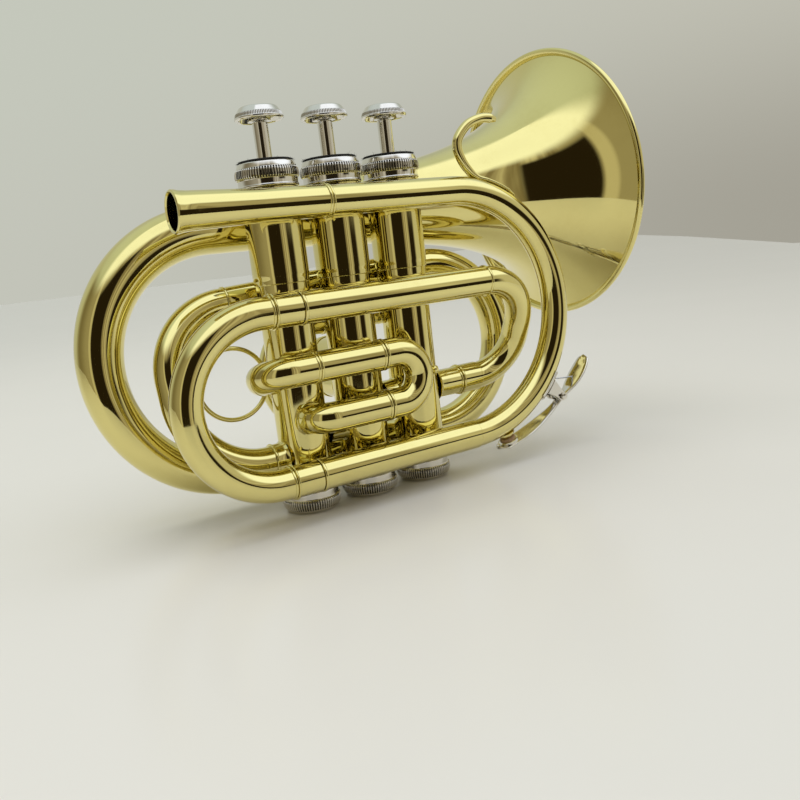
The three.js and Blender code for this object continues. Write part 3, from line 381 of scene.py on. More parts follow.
def pipe(route: Route, skin: Outline, bore: Outline | float, sides: int = 48,
         arc_degrees: float = 3.0) -> Surface:
    """A hollow pipe: rings of the skin one way and rings of the bore back, closed into one wall.

    Args:
        route: centre line.
        skin: outer radius along it.
        bore: inner radius along it, or one radius.
        sides: divisions round the pipe.
        arc_degrees: step along a bend.

    Returns:
        The surface.
    """
    inside = bore if isinstance(bore, Outline) else Outline(bore).to(route.length)
    marks = route.stations(arc_degrees)
    outer, inner = (circles(route, *outline.rings(marks), sides) for outline in (skin, inside))
    return woven(np.concatenate([outer, inner[::-1]]), True)


def rod(route: Route, skin: Outline, sides: int = 24) -> Surface:
    """A solid rod along a route."""
    travel, radius = skin.rings(route.stations(4.0))
    points, headings, normals = route.sample(travel)
    return bar(points, normals, np.cross(headings, normals), radius, sides=sides)


def softened(corners: Pairs, edge: float) -> Array:
    """A closed profile with its corners rounded.

    Each corner is replaced by a quadratic curve from a point short of it on one side to a point
    past it on the other, no further than four tenths of either side.

    Args:
        corners: radius and height of each corner.
        edge: distance from the corner at which the curve starts.

    Returns:
        Rounded profile, one row per point.
    """
    here = np.array(corners, float)
    sides = [np.roll(here, way, axis=0) - here for way in (1, -1)]
    lengths = [np.linalg.norm(side, axis=1, keepdims=True) for side in sides]
    cut = np.minimum(edge, 0.4 * np.minimum(*lengths))
    first, last = ((here + side / length * cut)[:, None] for side, length in zip(sides, lengths))
    share = np.linspace(0, 1, 4)[:, None]
    curve = (1 - share) ** 2 * first + 2 * share * (1 - share) * here[:, None] + share ** 2 * last
    return curve.reshape(-1, 2)


@dataclass(frozen=True)
class Knurl:
    """Upright teeth round a turned part. A plain part has none.

    Args:
        count: teeth round the axis, or divisions round a plain part.
        steps: divisions of the surface to each tooth.
        depth: depth of the grooves.
        inside: radius past which they are cut.
        low: height above which they are cut.
        high: height below which they are cut.
    """

    count: int = 96
    steps: int = 1
    depth: float = 0.0
    inside: float = math.inf
    low: float = 0.0
    high: float = 0.0


def lathed(corners: Pairs, centre: Array, edge: float = 0.2, knurl: Knurl = Knurl()) -> Surface:
    """A profile turned about an upright axis, with upright teeth where it is knurled.

    A knurled point's radius is the profile's less the depth times a wave that repeats with each
    tooth and is flat-bottomed, so that teeth stand up between grooves.

    Args:
        corners: radius and height of each corner, counter-clockwise with radius to the right.
        centre: point on the axis at height zero.
        edge: rounding of the corners.
        knurl: the teeth.

    Returns:
        The surface.
    """
    radius, height = softened(corners, edge).T[:, :, None]
    angles = circle(knurl.count * knurl.steps)
    wave = np.abs((angles * knurl.count / (2 * math.pi)) % 1.0 * 2 - 1)
    cut = (radius > knurl.inside) & (height > knurl.low) & (height < knurl.high)
    groove = cut * np.clip(1.45 * wave - 0.35, 0, 1)
    radius = radius - knurl.depth * groove
    grid = np.stack([radius * np.cos(angles), radius * np.sin(angles), height + 0 * groove], axis=-1)
    surface = woven(grid + centre, True)
    surface.groove = groove.reshape(-1)
    return surface


def through(points: Array, count: int) -> tuple[Array, Array]:
    """A smooth curve through points, and its headings.

    Between two points it is the cubic whose slope at each is half the chord of its neighbours.

    Args:
        points: the points to pass through.
        count: number of samples along the whole curve.

    Returns:
        Samples and unit headings.
    """
    padded = np.concatenate([[2 * points[0] - points[1]], points, [2 * points[-1] - points[-2]]])
    place = np.linspace(0, len(points) - 1, count)
    index = np.minimum(place.astype(int), len(points) - 2)
    t = (place - index)[:, None]
    a, b, c, d = (padded[index + k] for k in range(4))
    slope, square, cube = c - a, 2 * a - 5 * b + 4 * c - d, 3 * b - a - 3 * c + d
    curve = 0.5 * (2 * b + slope * t + square * t ** 2 + cube * t ** 3)
    return curve, unit(slope + 2 * square * t + 3 * cube * t ** 2)


def helix(centre: Array, low: float, high: float, radius: float, turns: float, wire: float) -> Surface:
    """A coil spring: a wire whose centre climbs evenly while it circles the axis.

    The wire's section stands on the outward spoke and on the heading crossed with it.

    Args:
        centre: point on the axis at height zero.
        low: height of the centre line's start.
        high: height of its end.
        radius: radius of the centre line.
        turns: number of turns.
        wire: radius of the wire.

    Returns:
        The surface.
    """
    angle = np.linspace(0, turns * 2 * math.pi, int(turns * 36) + 1)
    spoke = spokes(angle, X_AXIS, Y_AXIS)
    points = centre + spoke * radius
    points[:, 2] = np.linspace(low, high, len(angle))
    rise = Z_AXIS * (high - low) / (turns * 2 * math.pi)
    headings = unit(radius * spokes(angle, Y_AXIS, -X_AXIS) + rise)
    return bar(points, spoke, np.cross(headings, spoke), np.full(len(angle), wire), sides=12)


def hoop(centre: Array, radius: float, wire: float, rings: int = 128) -> Surface:
    """An upright ring of round wire: circles whose centres go round the centre."""
    spoke = spokes(circle(rings), X_AXIS, Z_AXIS)
    return woven(sections(centre + spoke * radius, spoke, Y_AXIS, np.full(rings, wire)), True)


def loose_fibres(centre: Array, low: float, high: float, radius: float, count: int, seed: int) -> Surface:
    """Short hairs that stand off the edge of a felt ring.

    Each hair leaves the edge along the outward spoke plus a random lean, and its centre line adds
    a random bend times the square of the share travelled. Its section is a triangle that starts
    and ends in a point.

    Args:
        centre: centre of the ring at height zero.
        low: lowest height of a root.
        high: greatest height of a root.
        radius: radius of the edge.
        count: number of hairs.
        seed: seed of the random draw.

    Returns:
        The surface of all hairs.
    """
    draw = np.random.default_rng(seed)
    spoke = spokes(draw.uniform(0, 2 * math.pi, count), X_AXIS, Y_AXIS)
    root = centre + spoke * (radius - 0.2) + Z_AXIS * draw.uniform(low, high, count)[:, None]
    heading = unit(spoke + draw.normal(0, 0.75, (count, 3)))
    heading *= draw.uniform(0.45, 1.15, count)[:, None]
    bend = draw.normal(0, 0.3, (count, 3))
    share = np.array([0, 0, 0.3, 0.6, 0.9, 1.0])
    thick = np.array([0, 0.035, 0.032, 0.028, 0.018, 0.0])
    line = root[:, None] + heading[:, None] * share[:, None] + bend[:, None] * share[:, None] ** 2
    side = unit(np.cross(heading, Z_AXIS))
    ways = (np.repeat(way, len(share), axis=0) for way in (side, unit(np.cross(side, heading))))
    grid = sections(line.reshape(-1, 3), *ways, np.tile(thick, count), sides=3)
    pattern = woven(grid[:len(share)]).quads
    quads = pattern + (np.arange(count) * len(share) * 3)[:, None, None]
    return Surface(grid.reshape(-1, 3), quads.reshape(-1, 4))


def cuff(route: Route, inner: float, outer: float, spread: float, towards: Array) -> Surface:
    """A plate that lies on part of a round pipe.

    Its section runs along the outer arc one way and the inner arc back. Both ends close half way
    through its thickness, so the rim is round.

    Args:
        route: centre line of the pipe under it.
        inner: radius of its underside.
        outer: radius of its top.
        spread: half the angle that it covers round the pipe, in degrees.
        towards: direction that the middle of the plate faces, at the route's start.

    Returns:
        The surface.
    """
    edge, length, half = 0.25, route.length, (outer - inner) / 2
    marks = route.stations(1.5)
    marks = marks[(marks > edge) & (marks < length - edge)]
    travel = np.concatenate([[0.0, 0.0, edge], marks, [length - edge, length, length]])
    thick = np.full((len(travel), 1), half)
    thick[[1, -2]] = half * 0.6
    thick[[0, -1]] = 0.0
    points, headings, normals = route.sample(travel)
    across = np.cross(headings, normals)
    share = np.linspace(-1, 1, 41)
    angles = math.atan2(towards @ across[0], towards @ normals[0]) + math.radians(spread) * share
    swell = thick * np.sqrt(np.clip(1 - np.abs(share) ** 24, 0.08, 1))
    radius = (inner + outer) / 2 + np.concatenate([swell, -swell[:, ::-1]], axis=1)
    both = np.concatenate([angles, angles[::-1]])[:, None]
    spoke = np.cos(both) * normals[:, None] + np.sin(both) * across[:, None]
    return woven(points[:, None] + radius[:, :, None] * spoke)


def slab(outline: Array, origin: Array, first: Array, second: Array, half: float) -> Surface:
    """A flat plate of any outline with bevelled rims.

    Args:
        outline: two columns, the outline's points in order.
        origin: point that the outline is measured from, in the middle of the thickness.
        first: unit vector of the first column.
        second: unit vector of the second column.
        half: half the thickness.

    Returns:
        The surface.
    """
    bevel, middle = 0.2, outline.mean(axis=0)
    arm = outline - middle
    inset, hub = middle + arm - bevel * unit(arm), middle + 0 * arm
    rows = ((hub, -half), (inset, -half), (outline, bevel - half), (outline, half - bevel), (inset, half),
            (hub, half))
    up = np.cross(first, second)
    return woven(np.stack([origin + r[:, :1] * first + r[:, 1:] * second + level * up for r, level in rows]))


# Finishes


class Socket(Enum):
    """Kinds of sockets on the shared node groups."""

    VALUE = "NodeSocketFloat"
    VECTOR = "NodeSocketVector"


class NodeMaker:
    """Adds nodes to a tree. What feeds a socket is another socket, or a constant."""

    def __init__(self, tree: bpy.types.NodeTree) -> None:
        """Keeps the tree."""
        self.tree = tree

    def add(self, kind: str, feeds: dict[str | int, object] | None = None,
            **settings: object) -> bpy.types.Node:
        """A new node with its plain settings and what feeds its sockets."""
        node = self.tree.nodes.new(kind)
        for name, value in settings.items():
            setattr(node, name, value)
        self.feed(node, feeds or {})
        return node

    def feed(self, node: bpy.types.Node, feeds: dict[str | int, object]) -> None:
        """Links or sets a node's input sockets."""
        for place, value in feeds.items():
            socket = node.inputs[place]
            if isinstance(value, Link):
                self.tree.links.new(value, socket)
            else:
                socket.default_value = (*value, 1.0) if socket.type == "RGBA" else value

    def ramp(self, source: Link, low: float, high: float, out_low: float = 0.0, out_high: float = 1.0,
             shape: str = "LINEAR") -> Link:
        """A value mapped from one range to another and held at its ends."""
        feeds = {"Value": source, "From Min": low, "From Max": high, "To Min": out_low, "To Max": out_high}
        return self.add("ShaderNodeMapRange", feeds, clamp=True, interpolation_type=shape).outputs["Result"]

    def fade(self, source: Link, low: float, high: float, most: float = 1.0) -> Link:
        """A smooth rise from zero."""
        return self.ramp(source, low, high, 0.0, most, "SMOOTHSTEP")

    def fall(self, source: Link, low: float, high: float) -> Link:
        """A smooth fall from one to zero."""
        return self.ramp(source, low, high, 1.0, 0.0, "SMOOTHSTEP")

    def band(self, source: Link, rise: Pair, drop: Pair) -> Link:
        """One between a smooth rise and a smooth fall, and zero outside them."""
        return self.times(self.fade(source, *rise), self.fall(source, *drop))

    def along(self, where: Link, axis: Spot) -> Link:
        """How far a direction points along an axis: their dot product."""
        return self.add("ShaderNodeVectorMath", {0: where, 1: axis}, operation="DOT_PRODUCT").outputs["Value"]

    def blend(self, share: Link, first: Link | Colour, second: Link | Colour) -> Link:
        """Two colours mixed by a share."""
        return self.add("ShaderNodeMix", {0: share, 6: first, 7: second}, data_type="RGBA").outputs[2]

    def maths(self, kind: str, first: Link | float, second: Link | float) -> Link:
        """One step of arithmetic."""
        return self.add("ShaderNodeMath", {0: first, 1: second}, operation=kind).outputs[0]

    def times(self, first: Link, second: Link | float) -> Link:
        """A product."""
        return self.maths("MULTIPLY", first, second)

    def noise(self, where: Link, scale: float, detail: float = 3.0, roughness: float = 0.5) -> Link:
        """A cloud of values."""
        feeds = {"Vector": where, "Scale": scale, "Detail": detail, "Roughness": roughness}
        return self.add("ShaderNodeTexNoise", feeds).outputs["Fac"]


class SharedEffects:
    """Shader groups that several finishes use, each a pattern in object coordinates times an amount."""

    def __init__(self) -> None:
        """Builds each group once."""
        self.handling = self._group("handling_marks", self._marks)
        self.buffing = self._group("buffing_ripple", self._ripple)

    @staticmethod
    def _group(name: str, pattern: object) -> bpy.types.NodeTree:
        """A group round a pattern.

        Args:
            name: name of the group.
            pattern: function that makes the pattern's nodes from a node maker and coordinates.

        Returns:
            The group.
        """
        group = bpy.data.node_groups.new(name, "ShaderNodeTree")
        for label, way, kind in (("Vector", "INPUT", Socket.VECTOR), ("Amount", "INPUT", Socket.VALUE),
                                 ("Result", "OUTPUT", Socket.VALUE)):
            group.interface.new_socket(label, in_out=way, socket_type=kind.value)
        maker = NodeMaker(group)
        entry = maker.add("NodeGroupInput")
        result = maker.times(pattern(maker, entry.outputs["Vector"]), entry.outputs["Amount"])
        maker.add("NodeGroupOutput", {"Result": result})
        return group

    @staticmethod
    def _marks(maker: NodeMaker, where: Link) -> Link:
        """Finger marks and thin film: broad clouds times fine ones, from zero to one."""
        broad = maker.ramp(maker.noise(where, 38.0, 4.0, 0.6), 0.48, 0.72)
        return maker.times(broad, maker.ramp(maker.noise(where, 420.0, 5.0, 0.7), 0.35, 0.75, 0.25, 1.0))

    @staticmethod
    def _ripple(maker: NodeMaker, where: Link) -> Link:
        """Faint ripple left by drawing and buffing: two scales of cloud, added as a height."""
        close = maker.times(maker.noise(where, 900.0, 3.0, 0.6), 0.12)
        return maker.maths("ADD", maker.noise(where, 55.0, 2.0, 0.5), close)


@dataclass(frozen=True)
class Finish:
    """What every finish has.

    Args:
        name: name of the material.
        slot: the record's material slot.
        relief: height of its fine relief.
    """

    name: str
    slot: str
    relief: float

    def paint(self, maker: NodeMaker, where: Link, effects: SharedEffects) -> tuple[Link, dict[str, object]]:
        """The relief, from zero to one, and what feeds the shader."""
        raise NotImplementedError

    def make(self, effects: SharedEffects) -> bpy.types.Material:
        """Builds the material."""
        material = bpy.data.materials.new(self.name)
        material.use_nodes = True
        material.node_tree.nodes.clear()
        maker = NodeMaker(material.node_tree)
        height, feeds = self.paint(maker, maker.add("ShaderNodeTexCoord").outputs["Object"], effects)
        bump = maker.add("ShaderNodeBump", {"Height": height, "Strength": 1.0, "Distance": self.relief * MM})
        shader = maker.add("ShaderNodeBsdfPrincipled", {**feeds, "Normal": bump.outputs["Normal"]})
        maker.add("ShaderNodeOutputMaterial", {"Surface": shader.outputs["BSDF"]})
        return material


@dataclass(frozen=True)
class MetalFinish(Finish):
    """A polished metal with faint marks of handling.

    Args:
        tone: colour of the clean metal.
        film: colour under finger marks and thin film.
        gloss: roughness where it is clean.
        dull: roughness under marks.
        marks: strength of the handling marks.
        lacquer: weight of the clear coat.
        groove_dirt_and_shade: brightness of the colour in a knurl's grooves, partly dirt and partly painted
            shade, as a share of the film's.
    """

    tone: Colour
    film: Colour
    gloss: float
    dull: float
    marks: float
    lacquer: float = 0.0
    groove_dirt_and_shade: float = 0.12

    def paint(self, maker: NodeMaker, where: Link, effects: SharedEffects) -> tuple[Link, dict[str, object]]:
        """Clean metal, marks over it, and a dark groove colour that is partly dirt and partly painted shade,
        on a buffed surface.
        """
        feeds = {"Vector": where, "Amount": self.marks}
        mask = maker.add("ShaderNodeGroup", feeds, node_tree=effects.handling).outputs[0]
        feeds = {"Vector": where, "Amount": 1.0}
        ripple = maker.add("ShaderNodeGroup", feeds, node_tree=effects.buffing).outputs[0]
        groove = maker.add("ShaderNodeAttribute", attribute_name="groove").outputs["Fac"]
        # Knurl grooves darkened almost to black: partly dirt, partly painted shade standing in for the shadow
        # between the teeth.
        dirt_and_shade = tuple(self.groove_dirt_and_shade * channel for channel in self.film)
        colour = maker.blend(maker.times(groove, 0.9), maker.blend(mask, self.tone, self.film), dirt_and_shade)
        return ripple, {"Base Color": colour, "Roughness": maker.ramp(mask, 0.0, 1.0, self.gloss, self.dull),
                        "Metallic": 1.0, "Coat Weight": self.lacquer, "Coat Roughness": 0.03}


@dataclass(frozen=True)
class GrainFinish(Finish):
    """A matt material with a grain, for cork, felt and moulded plastic.

    Args:
        light: lighter colour of the grain.
        dark: darker colour of the grain.
        scale: fineness of the grain.
        rough: surface roughness.
    """

    light: Colour
    dark: Colour
    scale: float
    rough: float

    def paint(self, maker: NodeMaker, where: Link, effects: SharedEffects) -> tuple[Link, dict[str, object]]:
        """Clouds of two sizes, as colour and as height."""
        grain = maker.noise(where, self.scale, 5.0, 0.65)
        total = maker.times(maker.maths("ADD", grain, maker.noise(where, self.scale / 6, 2.0, 0.5)), 0.5)
        return total, {"Base Color": maker.blend(maker.ramp(total, 0.35, 0.65), self.dark, self.light),
                       "Roughness": maker.ramp(grain, 0.3, 0.7, self.rough - 0.1, self.rough)}


BRASS = MetalFinish("lacquered_brass", "lacquered_brass", 0.008, (0.76, 0.67, 0.265), (0.64, 0.54, 0.19),
                    0.045, 0.14, 0.55, 0.25)
NICKEL = MetalFinish("nickel_plate", "nickel_plate", 0.006, (0.74, 0.71, 0.64), (0.60, 0.57, 0.50),
                     0.07, 0.22, 0.6)
NICKEL_SILVER = MetalFinish("nickel_silver", "nickel_silver", 0.006, (0.62, 0.61, 0.58),
                            (0.52, 0.51, 0.48), 0.22, 0.36, 0.5)
STEEL = MetalFinish("spring_steel", "spring_steel", 0.004, (0.52, 0.53, 0.55), (0.40, 0.40, 0.41),
                    0.26, 0.42, 0.5)
CORK = GrainFinish("natural_cork", "cork", 0.12, (0.62, 0.42, 0.22), (0.30, 0.17, 0.08), 1600.0, 0.92)
FELT = GrainFinish("black_felt", "felt", 0.10, (0.035, 0.033, 0.032), (0.008, 0.008, 0.008), 2600.0, 0.97)
NYLON = GrainFinish("moulded_nylon", "nylon", 0.02, (0.80, 0.78, 0.72), (0.70, 0.68, 0.62), 500.0, 0.55)


class Workshop:
    """Turns surfaces into pieces that ride on the frame's bodies."""

    def __init__(self) -> None:
        """Notes which body each CAD node rides on, and starts the store of materials."""
        self.effects = SharedEffects()
        self.materials: dict[str, bpy.types.Material] = {}
        self.body_of = {node: obj["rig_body"] for node, obj in frame["nodes"].items()}
        self.slots = {m["slot"] for m in frame["record"]["materials"]}

    def finish(self, finish: Finish) -> bpy.types.Material:
        """The finish's material, made once."""
        if finish.name not in self.materials:
            self.materials[finish.name] = finish.make(self.effects)
        return self.materials[finish.name]

    def piece(self, name: str, surface: Surface, finish: Finish, node: str | None = None,
              crease: float = 32.0, bends: tuple[str, str, Array, Array] | None = None) -> bpy.types.Object:
        """Makes a piece of the object from a surface.

        Args:
            name: name of the piece.
            surface: its surface in millimetres.
            finish: its finish.
            node: the CAD node that it stands for.
            crease: angle in degrees past which an edge stays crisp.
            bends: for a piece that stands for no node, two bodies and two points; when given, the piece is
                left in place on no body, and the bodies and points are not used.

        Returns:
            The piece.
        """
        mesh = bpy.data.meshes.new(name)
        mesh.from_pydata((surface.points * MM).tolist(), [], surface.quads.tolist())
        if surface.groove.any():
            mesh.attributes.new("groove", "FLOAT", "POINT").data.foreach_set("value", surface.groove)
        work = bmesh.new()
        work.from_mesh(mesh)
        bmesh.ops.remove_doubles(work, verts=work.verts, dist=2e-7)
        bmesh.ops.dissolve_degenerate(work, edges=work.edges, dist=1e-8)
        bmesh.ops.recalc_face_normals(work, faces=work.faces)
        work.to_mesh(mesh)
        work.free()
        mesh.polygons.foreach_set("use_smooth", np.ones(len(mesh.polygons), bool))
        mesh.set_sharp_from_angle(angle=math.radians(crease))
        mesh.update()
        piece = placed(name, mesh)
        mesh.materials.append(self.finish(finish))
        piece.modifiers.new("flat faces keep their shading", "WEIGHTED_NORMAL").keep_sharp = True
        if bends:
            first, second, start, end = bends
            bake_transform(piece)
        else:
            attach(piece, self.body_of[node])
            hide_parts(node)
        finish.slot if finish.slot in self.slots else "nickel_plate"
        LOG.info("piece %s: %d faces", name, len(mesh.polygons))
        return piece

    def tube(self, name: str, node: str, route: Route, skin: Outline, bore: Outline | float,
             sides: int = 48, arc_degrees: float = 3.0) -> None:
        """Makes a brass pipe.

        Args:
            name: name of the piece.
            node: the CAD node that it stands for.
            route: centre line.
            skin: outer radius along it.
            bore: inner radius along it, or one radius.
            sides: divisions round the pipe.
            arc_degrees: step along a bend.
        """
        self.piece(name, pipe(route, skin, bore, sides, arc_degrees), BRASS, node)


# The instrument, one class per sub-assembly


@dataclass(frozen=True)
class Layout:
    """Sizes that several sub-assemblies share."""

    near_y: float = -19.0
    leadpipe: float = 117.4
    middle_run: float = 80.2
    lower_run: float = 17.3
    bow_x: float = 42.5
    pipe_radius: float = 5.7
    small_radius: float = 5.9
    small_bore: float = 5.4
    ferrule_radius: float = 6.3
    pitch: float = 27.0
    casing_radius: float = 10.2
    casing_sink: float = 0.6
    casing_face: float = 37.2
    thin_ring: Pair = (1.1, 0.4)

    @property
    def bow_radius(self) -> float:
        """Radius of the big front bow's centre line."""
        return (self.leadpipe - self.lower_run) / 2

    @property
    def bow_height(self) -> float:
        """Height of the big front bow's centre."""
        return (self.leadpipe + self.lower_run) / 2


PLAN = Layout()


@dataclass(frozen=True)
class TurnedPart:
    """A lathe-turned part that each valve has.

    Args:
        piece: name of the piece before the valve's number.
        node: name of the CAD node before the valve's number.
        corners: radius and height of each corner.
        finish: its finish.
        knurl: its teeth.
        crease: angle in degrees past which an edge stays crisp.
    """

    piece: str
    node: str
    corners: Pairs
    finish: Finish = NICKEL
    knurl: Knurl = Knurl()
    crease: float = 40.0

    def turn(self, centre: Array) -> Surface:
        """The part's surface on a valve's axis."""
        return lathed(self.corners, centre, knurl=self.knurl)


# A smooth bevelled foot, a swelling rim with deep teeth and a plain skirt
BOTTOM_CAP = TurnedPart("foot_cap", "bottom_cap", (
    (1.5, 0), (9.5, 0), (10.3, 0.35), (10.85, 1.2), (11.15, 1.5), (11.45, 2.2), (11.7, 3.3), (11.75, 4.5),
    (11.5, 5.2), (11.0, 5.45), (10.9, 5.8), (10.9, 8.2), (10.6, 8.6), (9.95, 8.6), (9.95, 2.9), (8.7, 2.9),
    (8.7, 1.6), (1.5, 1.6)), knurl=Knurl(72, 8, 0.55, 11.1, 1.4, 5.3))
# A plain skirt, deep teeth on a swelling rim and a smooth bevelled collar
TOP_CAP = TurnedPart("crown_cap", "top_cap", (
    (10.35, 124.9), (11.35, 124.9), (11.55, 125.15), (11.55, 125.6), (11.3, 125.85), (11.3, 127.8),
    (11.65, 128.05), (11.95, 128.5), (12.1, 129.4), (12.0, 130.5), (11.75, 131.4), (11.45, 131.8),
    (11.35, 131.95), (11.3, 132.2), (10.85, 133.7), (10.5, 134.0), (3.3, 134.0), (3.3, 131.6),
    (10.35, 131.6)), knurl=Knurl(72, 8, 0.6, 11.4, 127.95, 131.9))
# A hollow cone with a flat top, fine teeth above its rim and a rounded lip
BUTTON = TurnedPart("button", "finger_button", (
    (1.95, 148.9), (4.2, 148.9), (4.2, 151.1), (7.1, 151.1), (7.7, 149.5), (8.3, 149.2), (8.85, 149.3),
    (9.2, 149.8), (9.2, 150.25), (9.05, 150.45), (8.8, 151.3), (8.65, 151.75), (8.5, 151.9), (7.2, 153.75),
    (6.6, 154.15), (6.1, 154.2), (0, 154.2), (0, 151.6), (1.95, 151.6)),
    knurl=Knurl(90, 6, 0.2, 8.6, 150.4, 151.8))
# A flange that sits on the piston, the polished rod and its threaded end
STEM = TurnedPart("stem", "valve_stem", (
    (0, 124.7), (7.0, 124.7), (7.0, 126.7), (2.9, 126.7), (2.9, 148.6), (1.7, 148.6), (1.7, 151.3),
    (0, 151.3)), knurl=Knurl(48), crease=32.0)
# A flat ring that rests on the top cap
FELT_RING = TurnedPart("felt_ring", "top_felt", (
    (4.6, 134.02), (10.1, 134.02), (10.3, 134.3), (10.2, 134.75), (9.8, 134.9), (5.1, 134.9),
    (4.6, 134.7)), FELT, crease=32.0)


@dataclass
class ValveBlock:
    """Three casings side by side with their caps, buttons, stems, pistons, guides and springs.

    The fibres' four numbers are their lowest and highest root, the radius of the edge and how many.
    """

    casing_bore: float = 8.7
    casing_foot: float = 3.2
    skirt_top: float = 8.9
    shoulder: float = 91.0
    shoulder_rise: float = 1.6
    baluster_radius: float = 10.9
    baluster_bore: float = 9.7
    ledge: float = 97.5
    baluster_top: float = 124.6
    thread_radius: float = 10.1
    thread_top: float = 129.8
    bead: float = 0.5
    bead_width: float = 1.6
    casing_edge: float = 0.3
    fibres: tuple[float, float, float, int] = (134.1, 134.9, 10.3, 240)
    spring_foot: float = 100.3
    spring_head: float = 124.4
    spring_radius: float = 5.3
    spring_turns: float = 6
    spring_wire: float = 0.45
    stroke: float = 13.5
    stroke_margin: float = 0.2
    knuckle_heights: Pair = (30.5, 38.0)
    knuckle_radius: float = 6.2
    knuckle_bore: float = 5.2
    knuckle_sink: float = 0.4
    knuckle_fillet: Pairs = ((0.9, 0.0), (0.0, 0.8))

    def axis(self, number: int) -> Array:
        """Foot of a valve's axis."""
        return at((number - 2) * PLAN.pitch, 0, 0)

    def build(self, shop: Workshop) -> None:
        """Builds each valve in turn, then the knuckles."""
        for number in (1, 2, 3):
            centre = self.axis(number)
            surface = lathed(self._casing(), centre, self.casing_edge)
            shop.piece(f"casing_{number}_tube", surface, BRASS, f"valve_casing_{number}")
            for part in (BOTTOM_CAP, TOP_CAP, FELT_RING, BUTTON, STEM):
                surface = part.turn(centre)
                if part is FELT_RING:
                    surface = surface.joined(loose_fibres(centre, *self.fibres, number))
                node = f"{part.node}_{number}"
                shop.piece(f"{part.piece}_{number}", surface, part.finish, node, part.crease)
            self._inner(shop, number)
        for first, height in zip((1, 2), self.knuckle_heights):
            start = self.axis(first) + at(PLAN.casing_radius - self.knuckle_sink, 0, height)
            route = Route(start, X_AXIS).straight(PLAN.pitch - 2 * (PLAN.casing_radius - self.knuckle_sink))
            (length, _), (_, rise) = self.knuckle_fillet
            skin = Outline(self.knuckle_radius + rise).to(length, self.knuckle_radius)
            skin.flared(route.length, self.knuckle_fillet)
            name = f"knuckle_{first}_{first + 1}"
            shop.tube(name + "_tube", name, route, skin, self.knuckle_bore)

    def _casing(self) -> Pairs:
        """A casing's profile: the tube, a bead under the wider baluster, and the threaded top."""
        radius, proud = PLAN.casing_radius, PLAN.casing_radius + self.bead
        wide = self.baluster_radius
        return ((self.casing_bore, self.casing_foot), (radius - self.bead, self.casing_foot),
                (radius - self.bead, self.skirt_top), (radius, self.skirt_top),
                (radius, self.shoulder - self.bead_width), (proud, self.shoulder - self.bead_width),
                (proud, self.shoulder), (wide, self.shoulder + self.shoulder_rise),
                (wide, self.baluster_top - self.bead_width),
                (wide + self.bead, self.baluster_top - self.bead_width),
                (wide + self.bead, self.baluster_top), (self.thread_radius, self.baluster_top),
                (self.thread_radius, self.thread_top), (self.baluster_bore, self.thread_top),
                (self.baluster_bore, self.ledge), (self.casing_bore, self.ledge))

    def _inner(self, shop: Workshop, number: int) -> None:
        """The spring inside the piston's barrel; the piston and its guide keep their CAD shape."""
        centre, wire = self.axis(number), self.spring_wire
        surface = helix(centre, self.spring_foot + wire, self.spring_head - wire, self.spring_radius,
                        self.spring_turns, wire)
        spring = shop.piece(f"return_spring_{number}", surface, STEEL, f"valve_spring_{number}")
        foot = self.spring_foot
        (centre + at(0, 0, foot)) * MM
        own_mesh(spring)
        for node, finish in (("piston", NICKEL_SILVER), ("valve_guide", NYLON)):
            slots = frame["nodes"][f"{node}_{number}"].data.materials
            slots.clear()
            slots.append(shop.finish(finish))


